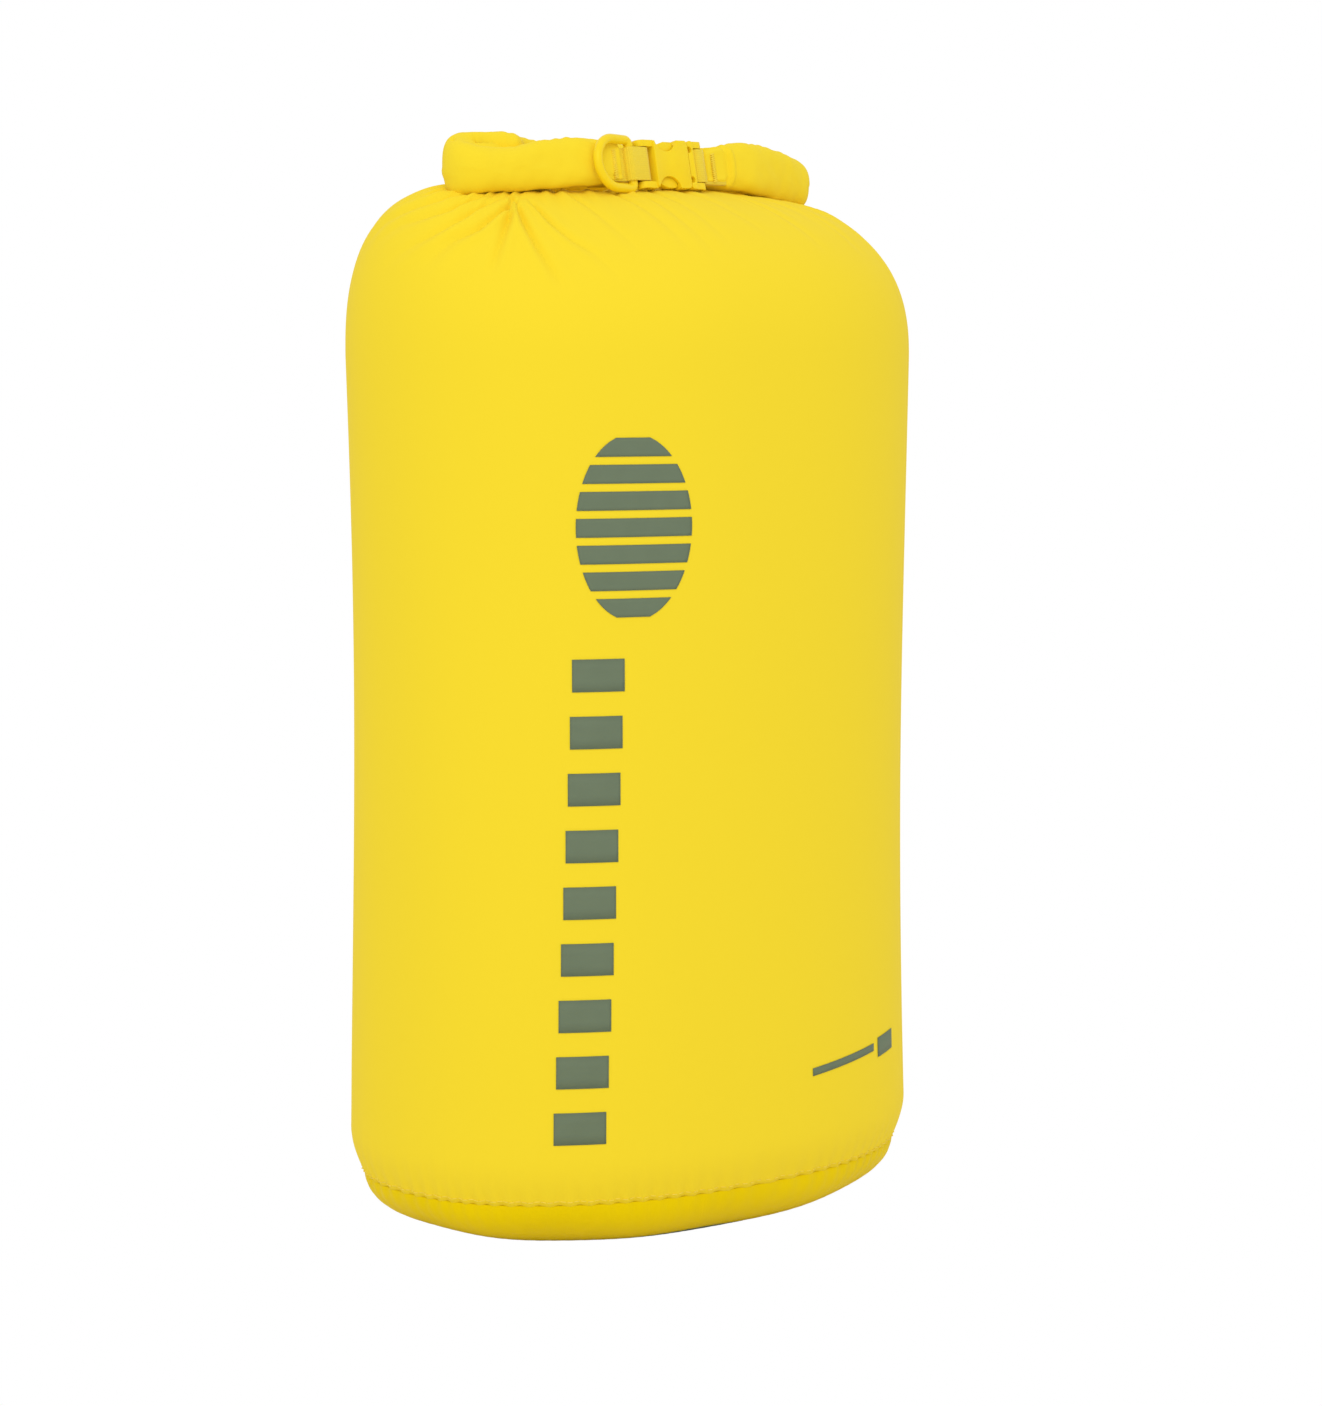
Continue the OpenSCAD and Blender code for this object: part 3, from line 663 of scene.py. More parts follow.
class SACK_OT_body(bpy.types.Operator):
    """Lofts the filled cloth body and its folds"""

    bl_idname = "sack.body"
    bl_label = "Body cloth"

    COLUMNS = 512
    INNER_ROWS = 14
    CLOSER = 0.35           # how much closer together the columns stand where the cloth is gathered
    CLOSER_AT = 0.6         # the share of a turn at which they stand closest
    INNER_GAP = 0.003       # room for the folds between the two skins
    RIM_SHARE = 0.985
    RUN_UP = (0, 0.021, 0.367, 0.48, 0.50)      # distance up the cloth at each whole climb
    RUN_PER_TURN = 0.12                         # distance round the cloth for each radian

    def execute(self, context):
        climbs = np.concatenate([
            np.linspace(0, 1, 10, endpoint=False),
            np.linspace(1, 2, 50, endpoint=False),
            2 + np.linspace(0, 1, 100, endpoint=False) ** 1.1,
            np.linspace(3, 4, 12),
        ])
        turns = np.linspace(0, 2 * math.pi, self.COLUMNS, endpoint=False)
        turns = turns - self.CLOSER * np.sin(turns - 2 * math.pi * self.CLOSER_AT)
        turn, climb = np.meshgrid(turns, climbs)
        outer = sack_point(turn, climb)
        inner_climbs = np.linspace(4, 0, self.INNER_ROWS)
        turn_in, climb_in = np.meshgrid(turns, inner_climbs)
        inner = plain_point(turn_in.ravel(), climb_in.ravel())
        inner = inner - outward(turn_in.ravel(), climb_in.ravel()) * (sizes().cloth + self.INNER_GAP)
        inner[-self.COLUMNS:] = outer[:self.COLUMNS] * [self.RIM_SHARE, self.RIM_SHARE, 1]
        points, faces = two_skins(outer, inner, self.COLUMNS)
        run = np.concatenate([climb.ravel(), climb_in.ravel(), [4, 4]])
        rise = np.interp(run, range(len(self.RUN_UP)), self.RUN_UP)
        around = np.concatenate([turn.ravel(), turn_in.ravel(), [0, 0]]) * self.RUN_PER_TURN
        uvs = np.stack([around, rise], axis=-1)
        piece = mesh_object("body_cloth", points, faces, coated_nylon(), uvs)
        face_outwards(piece)
        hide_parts("body_panel")
        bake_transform(piece)
        return {"FINISHED"}


# ---- Small shapes that are modelled once and copied ----
def merged_copies(name, template, places, material):
    """One mesh of copies of a template mesh, each set by its own matrix. The template is removed."""
    points = np.array([v.co for v in template.data.vertices])
    faces = [tuple(f.vertices) for f in template.data.polygons]
    all_points = []
    all_faces = []
    for k, place in enumerate(places):
        turned = np.array(place.to_3x3())
        all_points.append(points @ turned.T + np.array(place.translation))
        all_faces += [tuple(i + k * len(points) for i in f) for f in faces]
    bpy.data.objects.remove(template)
    return mesh_object(name, np.concatenate(all_points), all_faces, material)


def stitch_template(reach, radius):
    """A short rounded thread along X."""
    object_mode()
    bpy.ops.mesh.primitive_uv_sphere_add(
        segments=6, ring_count=5, radius=radius, location=(0, 0, 0), rotation=(0, math.pi / 2, 0)
    )
    thread = bpy.context.object
    select_only(thread)
    bpy.ops.object.transform_apply(rotation=True)
    for v in thread.data.vertices:
        if abs(v.co.x) > radius / 10:
            v.co.x += math.copysign(reach / 2 - radius, v.co.x)
    return thread


def surface_places(turns, climbs, lift):
    """Matrices that stand on the sack's cloth at each point, X along the row and Z outwards."""
    step = 0.004
    here = sack_point(turns, climbs, lift)
    if np.ptp(turns) > np.ptp(climbs):
        ahead = sack_point(turns + step, climbs, lift)
    else:
        ahead = sack_point(turns, climbs + step, lift)
    normals = outward(turns, climbs)
    along = unit(ahead - here)
    across = np.cross(normals, along)
    places = []
    for point, x, y, z in zip(here, along, across, normals):
        place = Matrix((x, y, z)).transposed().to_4x4()
        place.translation = Vector(point)
        places.append(place)
    return places


def climb_at(height):
    """Climb of a height on the wall."""
    s = sizes()
    return 1 + (np.asarray(height) - s.full_height) / (s.shoulder_height - s.full_height)


def cloth_film(turn, climb, lift, thickness):
    """Points and faces of a closed thin skin that lies on the cloth over a grid of turn and climb."""
    rows, columns = turn.shape
    top = sack_point(turn, climb, lift + thickness)
    under = sack_point(turn, climb, lift)
    points = np.concatenate([under, top])
    count = rows * columns
    faces = [tuple(reversed(f)) for f in grid_faces(rows, columns, False)]
    faces += [tuple(i + count for i in f) for f in grid_faces(rows, columns, False)]
    rim = [r * columns for r in range(rows)]
    rim += [(rows - 1) * columns + c for c in range(1, columns)]
    rim += [r * columns + columns - 1 for r in range(rows - 2, -1, -1)]
    rim += list(range(columns - 2, 0, -1))
    for k, a in enumerate(rim):
        b = rim[(k + 1) % len(rim)]
        faces.append((b, a, a + count, b + count))
    return points, faces


def joined_films(name, films, material):
    """One mesh of several films."""
    points, faces, start = [], [], 0
    for film_points, film_faces in films:
        points.append(film_points)
        faces += [tuple(i + start for i in f) for f in film_faces]
        start += len(film_points)
    return mesh_object(name, np.concatenate(points), faces, material)


class SACK_OT_base(bpy.types.Operator):
    """Lofts the sewn base, puckered along its seam"""

    bl_idname = "sack.base"
    bl_label = "Base cloth"

    COLUMNS = 384
    FLAT_SHARE = 0.6        # the flat's width as a share of the whole base
    FLAT_AT = 0.75          # the share of the way from seam to middle at which the flat starts
    INNER_ROWS = 8
    INNER_GAP = 0.001

    def point(self, turn, way, inset=0.0):
        """Way runs 0 at the seam, over the round edge to FLAT_AT, and 1 in the middle of the flat."""
        s = sizes()
        bend = np.clip(way / self.FLAT_AT, 0, 1) * math.pi / 2
        flat = np.clip((way - self.FLAT_AT) / (1 - self.FLAT_AT), 0, 1)
        share = (self.FLAT_SHARE + (1 - self.FLAT_SHARE) * np.cos(bend)) * (1 - 0.995 * flat)
        drawn = s.seam_draw + inset
        x, y = oval(turn, (s.body_width / 2 - drawn) * share, (s.body_depth / 2 - drawn) * share)
        z = s.seam_height + (inset - s.seam_height) * np.sin(bend)
        return np.stack(np.broadcast_arrays(x, y, z), axis=-1)

    def execute(self, context):
        s = sizes()
        bend = self.FLAT_AT * np.linspace(0, 1, 44, endpoint=False) ** 1.15
        ways = np.concatenate([bend, np.linspace(self.FLAT_AT, 1, 14)])
        turns = np.linspace(0, 2 * math.pi, self.COLUMNS, endpoint=False)
        turn, way = np.meshgrid(turns, ways)
        outer = self.point(turn, way)
        step = 0.002
        across = self.point(turn + step, way) - self.point(turn - step, way)
        down = self.point(turn, np.minimum(way + step, 1)) - self.point(turn, np.maximum(way - step, 0))
        normals = unit(np.cross(down, across))
        away = s.seam_height - outer[..., 2]
        dents = 0.5 * MM * np.sin(turn * 9 + 1) * np.sin(np.clip(away / s.seam_height, 0, 1) * math.pi)
        lift = puckers(turn, away) + dents
        outer = outer + normals * lift[..., None]
        outer[..., 2] = np.maximum(outer[..., 2], 0)
        inner_ways = np.linspace(1, 0, self.INNER_ROWS)
        turn_in, way_in = np.meshgrid(turns, inner_ways)
        inner = self.point(turn_in, way_in, s.cloth + self.INNER_GAP)
        points, faces = two_skins(outer.reshape(-1, 3), inner.reshape(-1, 3), self.COLUMNS)
        piece = mesh_object("base_cloth", points, faces, printed_base(), points[:, :2])
        face_outwards(piece)
        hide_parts("base_panel")
        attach(piece, "root")
        return {"FINISHED"}


class SACK_OT_stitching(bpy.types.Operator):
    """Sews the base seam and the folded seam up the back"""

    bl_idname = "sack.stitching"
    bl_label = "Seams"

    BASE_STITCHES = 236
    BASE_CLIMB = 0.10           # climb of the row of stitches
    FELL_HALF_TURN = 0.036      # half the folded seam's width, in radians round the oval
    FELL_HEIGHT = 0.75 * MM

    def execute(self, context):
        thread = stitch_thread()
        turns = np.linspace(0, 2 * math.pi, self.BASE_STITCHES, endpoint=False)
        places = surface_places(turns, np.full(self.BASE_STITCHES, self.BASE_CLIMB), 0.12 * MM)
        row = merged_copies("base_stitches", stitch_template(2.5 * MM, 0.3 * MM), places, thread)
        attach(row, "root")
        self.back_seam(thread)
        return {"FINISHED"}

    def back_seam(self, thread):
        """The felled seam: a rounded strip with two rows of stitches."""
        climbs = np.linspace(0.2, 2.75, 220)
        steps = np.linspace(-1, 1, 9)
        step, climb = np.meshgrid(steps, climbs)
        turn = math.pi / 2 - self.FELL_HALF_TURN * step
        crown = self.FELL_HEIGHT * np.clip(1 - np.abs(step) ** 4, 0.12, 1).ravel()
        points, faces = cloth_film(turn, climb, -0.2 * MM, 0.2 * MM)
        normals = outward(turn.ravel(), climb.ravel())
        points[len(points) // 2:] += normals * crown[:, None]
        faces = [tuple(reversed(f)) for f in faces]
        strip = mesh_object("back_seam", points, faces, coated_nylon("seam_cloth"), points[:, [0, 2]])
        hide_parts("side_seam_fell")
        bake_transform(strip)
        stops = np.concatenate([
            np.linspace(0.3, 1, 6, endpoint=False), np.linspace(1, 2, 112, endpoint=False),
            np.linspace(2, 2.7, 24),
        ])
        rows = []
        for side in (-0.5, 0.5):
            turns = np.full(len(stops), math.pi / 2 + side * self.FELL_HALF_TURN)
            rows += surface_places(turns, stops, 0.8 * MM)
        stitches = merged_copies("back_stitches", stitch_template(2.3 * MM, 0.26 * MM), rows, thread)
        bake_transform(stitches)


class SACK_OT_prints(bpy.types.Operator):
    """Prints the striped oval, its column of bars, and the small size mark"""

    bl_idname = "sack.prints"
    bl_label = "Prints"

    TURN_PER_METRE = math.radians(450)
    FILM = 0.12 * MM                # thickness of the ink
    LIFT = 0.18 * MM                # how far it stands off the cloth
    BARS = 9
    BAR_PITCH = 0.0245
    BAR_WIDE = 0.025
    BAR_TALL = 0.014
    BARS_FROM = 0.052
    BAR_TURNS = (229.5, 233.5)      # degrees of the lowest and the highest bar
    OVAL_TURN = 241                 # degrees of the oval's middle
    OVAL_HEIGHT = 0.318
    OVAL_HALF = (0.027, 0.040)
    STRIPES = 7
    STRIPE_SHARE = 0.7              # a stripe's height as a share of its pitch
    SIZE_SLANT = 0.012
    SIZE_MARKS = ((278, 298, 0.0700, 0.0735), (300, 308, 0.0705, 0.0795))   # degrees, then heights

    def patch(self, turn0, turn1, low, high, slant=0.0):
        """A film between two angles and two heights, its right end higher by slant."""
        columns = max(3, int(abs(turn1 - turn0) / self.TURN_PER_METRE / 0.0015))
        rows = max(2, int((high - low) / 0.003))
        turn, height = np.meshgrid(np.linspace(turn0, turn1, columns), np.linspace(low, high, rows))
        height = height + slant * (turn - turn0)
        return cloth_film(turn, climb_at(height), self.LIFT, self.FILM)

    def stripe(self, k):
        """One stripe of the oval, whose ends follow its outline."""
        half_w, half_h = self.OVAL_HALF
        pitch = 2 * half_h / self.STRIPES
        middle = pitch * (k + 0.5) - half_h
        heights = middle + np.linspace(-0.5, 0.5, 6) * pitch * self.STRIPE_SHARE
        reach = half_w * np.sqrt(np.clip(1 - (heights / half_h) ** 2, 0.02, 1)) * self.TURN_PER_METRE
        steps = np.linspace(-1, 1, 30)
        turn = math.radians(self.OVAL_TURN) + reach[:, None] * steps[None, :]
        height = np.repeat((self.OVAL_HEIGHT + heights)[:, None], len(steps), axis=1)
        return cloth_film(turn, climb_at(height), self.LIFT, self.FILM)

    def execute(self, context):
        ink = screen_ink()
        films = [self.stripe(k) for k in range(self.STRIPES)]
        half = self.BAR_WIDE / 2 * self.TURN_PER_METRE
        for k in range(self.BARS):
            middle = math.radians(np.interp(k, (0, self.BARS - 1), self.BAR_TURNS))
            low = self.BARS_FROM + self.BAR_PITCH * k
            films.append(self.patch(middle - half, middle + half, low, low + self.BAR_TALL))
        front = joined_films("front_ink", films, ink)
        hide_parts("front_print")
        marks = [
            self.patch(math.radians(start), math.radians(end), low, high, self.SIZE_SLANT)
            for start, end, low, high in self.SIZE_MARKS
        ]
        size_mark = joined_films("size_ink", marks, ink)
        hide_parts("size_print")
        for piece in (front, size_mark):
            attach(piece, "root")
        return {"FINISHED"}


# ---- The rolled mouth ----
LEAN = math.radians(12)
LEFT_ANGLE = math.radians(16)
RIGHT_ANGLE = math.radians(18)
LEFT_TIP = node_box("rolled_mouth_left")[1].x
RIGHT_TIP = node_box("rolled_mouth_right")[0].x
REAR_Y = (ROLL_LOW.y + ROLL_HIGH.y) / 2
SPLIT_X = 0.068         # X of the planes that split the roll into its left, rear and right pieces

# Heights of the roll along X, in mm from the middle's lowest line: X, the underside, the arms' top and
# the rear run's top
ROLL_HEIGHTS = (
    (-106, -3.2, 17.5, 20.0),
    (-92, -3.4, 15.5, 23.6),
    (-78, -2.6, 17.0, 24.2),
    (-62, -1.0, 20.6, 22.5),
    (-45, 0.0, 20.9, 20.5),
    (-31, 0.6, 19.8, 20.5),
    (16, 1.0, 18.6, 21.2),
    (28, 0.6, 19.6, 21.2),
    (44, -0.4, 22.0, 20.5),
    (66, -2.8, 20.6, 19.5),
    (86, -5.2, 16.6, 17.0),
    (95, -6.0, 14.2, 14.8),
)


def smooth_step(value):
    value = np.clip(value, 0, 1)
    return value * value * (3 - 2 * value)


def softened(values, reach):
    """A running mean over reach stations on each side, its ends held."""
    padded = np.pad(values, reach, mode="edge")
    return np.convolve(padded, np.ones(2 * reach + 1) / (2 * reach + 1), mode="valid")


class SACK_OT_roll(bpy.types.Operator):
    """Rolls the mouth down and bends both its ends round to the front"""

    bl_idname = "sack.roll"
    bl_label = "Rolled mouth"

    STEP = 0.8 * MM
    AROUND = 80
    LOWEST = ROLL_LOW.z + 0.0005    # the middle's lowest line
    SOFTEN = 6                      # stations on each side over which the heights are evened out
    REAR_FROM = (-0.010, 0.014)     # Y from which a station counts as the rear run, and over how much
    REAR_SINK = 0.0025              # how much deeper the rear run sits in the neck
    PATCH = (0.0105, 0.004)         # length of the flat end where a web tab is sewn in, and of its fade
    PATCH_LIFT = 0.5 * MM
    PATCH_DROP = 0.7 * MM
    PUFF_REACH = 0.016
    LEAN_FROM = (0.022, 0.045)      # distance from a tip to which it leans in full, and over which less
    TIP_ROUND = 0.0018
    POWER = 2.9                     # 2 is an oval section, and more is squarer
    FILL_LEFT = (-0.060, 0.014)     # X beyond which the arm nears the rear run, and the length of the fade
    FILL_RIGHT = (0.066, 0.012)
    OVERLAP = 0.0045                # how far the two lobes press into each other there
    PINCH = (0.0765, 1.15)          # run and angle of the pinch on the left bend
    FOLD_AT = 14.2                  # mm from the right tip to the folded edge next to the patch

    def arm(self, bend_x, side, angle, tip_x):
        """The way of one arm from its bend to its tip, seen from above."""
        r, ease = roll_sizes().bend_radius, roll_sizes().ease_radius
        arm_y = SOCKET_PIN.y + (roll_sizes().front + roll_sizes().thickness / 2) / math.cos(LEAN)
        drop = REAR_Y - arm_y - r * (1 + math.cos(angle)) - ease * (1 - math.cos(angle))
        ease_x = (ease - r) * math.sin(angle) + drop / math.tan(angle)
        bend = np.linspace(math.pi, 2 * math.pi - angle, 24)
        turn = np.linspace(2 * math.pi - angle, 2 * math.pi, 12)
        x = np.concatenate([r * np.sin(bend), ease_x + ease * np.sin(turn), [abs(tip_x - bend_x)]])
        y = np.concatenate([REAR_Y - r - r * np.cos(bend), arm_y + ease - ease * np.cos(turn), [arm_y]])
        return np.stack([bend_x + side * x, y], axis=-1)

    def stations(self):
        """Evenly spaced points of the whole way, from the left arm's tip to the right arm's."""
        left = self.arm(ROLL_LOW.x, 1, LEFT_ANGLE, LEFT_TIP)[::-1]
        right = self.arm(ROLL_HIGH.x, -1, RIGHT_ANGLE, RIGHT_TIP)
        way = np.concatenate([left, right])
        run = np.concatenate([[0], np.cumsum(np.linalg.norm(np.diff(way, axis=0), axis=1))])
        steps = np.linspace(0, run[-1], int(run[-1] / self.STEP))
        return np.stack([np.interp(steps, run, way[:, k]) for k in (0, 1)], axis=-1), steps

    def heights(self, x, rear, flat):
        """Height of the underside and of the top at each station, and of the top between the lobes."""
        knots, low, arms, rears = np.array(ROLL_HEIGHTS).T * MM
        under = np.interp(x, knots, low) - self.REAR_SINK * rear
        arm_top, rear_top = np.interp(x, knots, arms), np.interp(x, knots, rears)
        top = arm_top * (1 - rear) + rear_top * rear
        under, top = (self.LOWEST + softened(softened(v, self.SOFTEN), self.SOFTEN) for v in (under, top))
        between = self.LOWEST + 0.5 * MM + (arm_top + rear_top) / 2
        return under + self.PATCH_LIFT * flat, top - self.PATCH_DROP * flat, between

    def from_bend(self, x):
        """Distance along X from the nearer bend's middle."""
        return np.abs(x - np.where(x < 0, ROLL_LOW.x, ROLL_HIGH.x))

    def shape(self):
        """Points of the roll as stations by points round, the run to each station, and the way."""
        r = roll_sizes()
        way, run = self.stations()
        x, y = way[:, 0], way[:, 1]
        along = unit(np.gradient(way, axis=0))
        out = np.stack([-along[:, 1], along[:, 0]], axis=-1)
        rear = smooth_step((y - self.REAR_FROM[0]) / self.REAR_FROM[1])
        tip = np.minimum(run, run[-1] - run)
        flat = smooth_step(1 - (tip - self.PATCH[0]) / self.PATCH[1])
        under, top, between = self.heights(x, rear, flat)
        bend = np.exp(-((self.from_bend(x) / self.PUFF_REACH) ** 2))
        thick = r.thickness + r.puff * bend
        lean = (LEAN * (1 - rear) * smooth_step(1 - (tip - self.LEAN_FROM[0]) / self.LEAN_FROM[1]))[:, None]
        close = np.sqrt(np.clip(1 - (1 - np.clip(tip / self.TIP_ROUND, 0, 1)) ** 2, 0.0004, 1))
        fill, half_gap = self.fill(x)
        angle = np.linspace(0, 2 * math.pi, self.AROUND, endpoint=False)[None, :]
        cos, sin = np.cos(angle), np.sin(angle)
        inner = cos < 0
        power = (self.POWER - 0.6 * bend + 4 * flat)[:, None] + np.where(inner, 5 * fill[:, None], 0)
        inner_reach = thick / 2 + fill * np.maximum(half_gap - thick / 2, 0)
        reach = np.where(inner, inner_reach[:, None], thick[:, None] / 2)
        across = reach * close[:, None] * signed_power(cos, 2 / power)
        up = ((top - under) / 2 * (0.55 + 0.45 * close))[:, None] * signed_power(sin, 2 / power)
        slope = (fill * (between - top))[:, None] * smooth_step(-1.2 * cos)
        up = up + slope * np.clip(signed_power(sin, 2 / power), 0, 1)
        lift = self.creases(run, angle, rear, tip, way) * close[:, None]
        across = across + lift * cos
        up = up + lift * sin
        side = across * np.cos(lean) - up * np.sin(lean)
        rise = up * np.cos(lean) + across * np.sin(lean) + ((under + top) / 2)[:, None]
        points = np.stack([x[:, None] + out[:, :1] * side, y[:, None] + out[:, 1:] * side, rise], axis=-1)
        return points, run, way

    def fill(self, x):
        """How far the arm and the rear run lie together at X, and half the room between them."""
        r = roll_sizes().bend_radius
        left = smooth_step((self.FILL_LEFT[0] - x) / self.FILL_LEFT[1])
        right = smooth_step((x - self.FILL_RIGHT[0]) / self.FILL_RIGHT[1])
        inwards = np.where(x < 0, x - ROLL_LOW.x, ROLL_HIGH.x - x)
        angle = np.where(x < 0, LEFT_ANGLE, RIGHT_ANGLE)
        overlap = self.OVERLAP * smooth_step((inwards - 0.002) / 0.016)
        return left + right, r - 0.4 * MM + np.clip(inwards, 0, None) * np.tan(angle) / 2 + overlap

    def creases(self, run, angle, rear, tip, way):
        """How far the cloth of the roll stands proud or sinks in."""
        u, tip, x = run[:, None], tip[:, None], way[:, :1]
        cos, sin = np.cos(angle), np.sin(angle)
        arm = 1 - rear[:, None]
        bends = np.exp(-((self.from_bend(x) / 0.014) ** 2))
        return MM * (
            self.ripples(u, angle, tip)
            + 0.4 * np.exp(-tip / 0.011) * np.sin(9 * angle + 2 * np.sin(u * 160))
            - 0.55 * bends * np.clip(-cos, 0, 1) * np.sin(u * 820) ** 2
            + self.ticks(u, angle) * (1 - bends)
            + np.clip(cos, 0, 1) ** 0.5 * arm * self.arm_fronts(u, sin, run[-1], x)
            + 0.36 * np.tanh((sin + 0.25) / 0.07) * np.clip(cos, 0, 1) ** 0.3 * (1 - arm)
            + self.pinch(u, angle)
        )

    def ripples(self, u, angle, tip):
        """Slow dents and fine ripples, calmer on the flat ends."""
        wave = (
            0.45 * np.sin(u * 210 + 2.1 * angle + 0.6) * np.sin(u * 67 - angle + 1.9)
            + 0.22 * np.sin(u * 390 - 2.6 * angle + 2.0 * np.sin(u * 45))
            + 0.10 * np.sin(u * 760 + 4 * angle + 1.5 * np.sin(u * 90))
        )
        calm = smooth_step((tip - 0.004) / 0.012) * 0.75 + 0.25
        return 0.6 * wave * calm * (1 - 0.8 * smooth_step((0.015 - tip) / 0.004))

    def ticks(self, u, angle):
        """Small diagonal creases over the top."""
        top = np.clip(np.sin(angle), 0, 1) ** 3
        return 0.35 * top * np.sin(u * 1150 + 3 * angle) * np.sin(u * 130 + 1) ** 2

    def arm_fronts(self, u, sin, whole, x):
        """The arms' fronts stand proud of the flat ends, the right one behind a curved folded edge."""
        left = 0.6 * smooth_step((u / MM - 12) / 5)
        away = (whole - u) / MM
        bow = 2.2 * (1 - sin ** 2)
        edge = 1.9 * np.exp(-(((away - self.FOLD_AT - bow) / 1.5) ** 2)) * np.clip(1.15 - sin ** 4, 0, 1)
        groove = 0.7 * np.exp(-(((away - self.FOLD_AT + 2.6 - bow) / 1.0) ** 2))
        right = edge - groove + 0.7 * smooth_step((away - 15) / 6)
        return np.where(x < 0, left, right)

    def pinch(self, u, angle):
        """The small deep pinch on top of the left bend."""
        run, at = self.PINCH
        return -1.8 * np.exp(-(((u - run) / 0.0013) ** 2) - ((angle - at) / 0.16) ** 2)

    def stretch(self, name, points, run):
        """One closed stretch of the roll, in cloth."""
        count = len(points)
        faces = [tuple(reversed(f)) for f in grid_faces(count, self.AROUND, True)]
        end = (count - 1) * self.AROUND
        for c in range(self.AROUND):
            d = (c + 1) % self.AROUND
            faces.append((c, d, count * self.AROUND))
            faces.append((end + d, end + c, count * self.AROUND + 1))
        around = np.tile(np.linspace(0, 0.06, self.AROUND), count)
        uvs = np.stack([np.repeat(run, self.AROUND), around], axis=-1)
        all_points = np.concatenate([points.reshape(-1, 3), points[[0, -1]].mean(axis=1)])
        piece = mesh_object(name, all_points, faces, coated_nylon(), np.concatenate([uvs, uvs[[0, -1]]]))
        face_outwards(piece)
        bpy.ops.object.shade_smooth_by_angle(angle=math.radians(75))
        return piece

    def execute(self, context):
        points, run, way = self.shape()
        off_rear = np.where(way[:, 1] > REAR_Y - MM, 0, 1)
        first, last = (int(np.argmin(np.abs(way[:, 0] - x) + off_rear)) for x in (-SPLIT_X, SPLIT_X))
        left = self.stretch("roll_left", points[:first + 1], run[:first + 1])
        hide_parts("rolled_mouth_left")
        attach(left, "closure")
        rear = self.stretch("roll_rear", points[first:last + 1], run[first:last + 1])
        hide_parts("rolled_mouth_rear")
        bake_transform(rear)
        right = self.stretch("roll_right", points[last:], run[last:])
        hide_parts("rolled_mouth_right")
        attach(right, "plug_side")
        return {"FINISHED"}


# ---- Webbing, buckle and ring ----
BUCKLE = Matrix.Translation(SOCKET_PIN) @ Matrix.Rotation(-LEAN, 4, "X")


TRUE_FLAT = math.radians(1)     # faces that turn less than this are one face
SHARP_EDGE = math.radians(40)   # edges that turn more than this get a bevel
SMOOTH_EDGE = math.radians(35)  # and those that turn less than this are shaded smooth


def refined_copy(node, name, material, bevel):
    """A CAD node's mesh merged, cleaned to its true faces, and given moulded edges."""
    piece = bpy.data.objects.new(name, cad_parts[node].data.copy())
    bpy.context.collection.objects.link(piece)
    piece.data.materials.clear()
    piece.data.materials.append(material)
    select_only(piece)
    bpy.ops.object.mode_set(mode="EDIT")
    bpy.ops.mesh.select_all(action="SELECT")
    bpy.ops.mesh.remove_doubles(threshold=0.01 * MM)
    bpy.ops.mesh.dissolve_limited(angle_limit=TRUE_FLAT)
    object_mode()
    edge = piece.modifiers.new("moulded_edges", "BEVEL")
    edge.width = bevel
    edge.segments = 2
    edge.limit_method = "ANGLE"
    edge.angle_limit = SHARP_EDGE
    bpy.ops.object.modifier_apply(modifier=edge.name)
    bpy.ops.object.shade_smooth_by_angle(angle=SMOOTH_EDGE)
    return piece


class SACK_OT_tabs(bpy.types.Operator):
    """Sews the two web tabs into the roll's ends"""

    bl_idname = "sack.tabs"
    bl_label = "Web tabs"

    TACK_ROWS = 27
    TACK_HEIGHT = 0.0125
    TACK_FROM_TIP = 0.0052
    FACE = -0.45 * MM       # the threads' Y off the buckle's middle plane

    def tack(self, name, x, body, node, thread):
        """A bar tack: close threads side by side up the cloth."""
        places = []
        for k in range(self.TACK_ROWS):
            z = self.TACK_HEIGHT * (k / (self.TACK_ROWS - 1) - 0.5)
            tilt = math.radians(14 if k % 2 else -14)
            spot = Matrix.Translation((x, self.FACE, z)) @ Matrix.Rotation(tilt, 4, "Y")
            places.append(BUCKLE @ spot)
        row = merged_copies(name, stitch_template(2.6 * MM, 0.26 * MM), places, thread)
        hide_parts(node)
        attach(row, body)

    def execute(self, context):
        web = web_weave(LEAN)
        tabs = (("left_tab", "left_web", "closure"), ("right_tab", "right_web", "plug_side"))
        for node, name, body in tabs:
            piece = refined_copy(node, name, web, 0.22 * MM)
            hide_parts(node)
            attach(piece, body)
        thread = bpy.data.materials.get("thread") or stitch_thread()
        left = LEFT_TIP - self.TACK_FROM_TIP - SOCKET_PIN.x
        right = RIGHT_TIP + self.TACK_FROM_TIP - SOCKET_PIN.x
        self.tack("left_tack", left, "closure", "left_bartack", thread)
        self.tack("right_tack", right, "plug_side", "right_bartack", thread)
        return {"FINISHED"}


class SACK_OT_buckle(bpy.types.Operator):
    """Moulds the side-release buckle"""

    bl_idname = "sack.buckle"
    bl_label = "Buckle"

    def execute(self, context):
        plastic = moulded_plastic()
        parts = (
            ("buckle_socket", "socket_body", "closure", 0.45),
            ("socket_pin", "socket_bar", "closure", 0.25),
            ("buckle_plug", "plug_body", "plug_side", 0.4),
            ("plug_pin", "plug_bar", "plug_side", 0.25),
            ("upper_prong", "upper_arm", "upper_latch", 0.3),
            ("lower_prong", "lower_arm", "lower_latch", 0.3),
        )
        for node, name, body, bevel in parts:
            piece = refined_copy(node, name, plastic, bevel * MM)
            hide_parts(node)
            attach(piece, body)
        return {"FINISHED"}


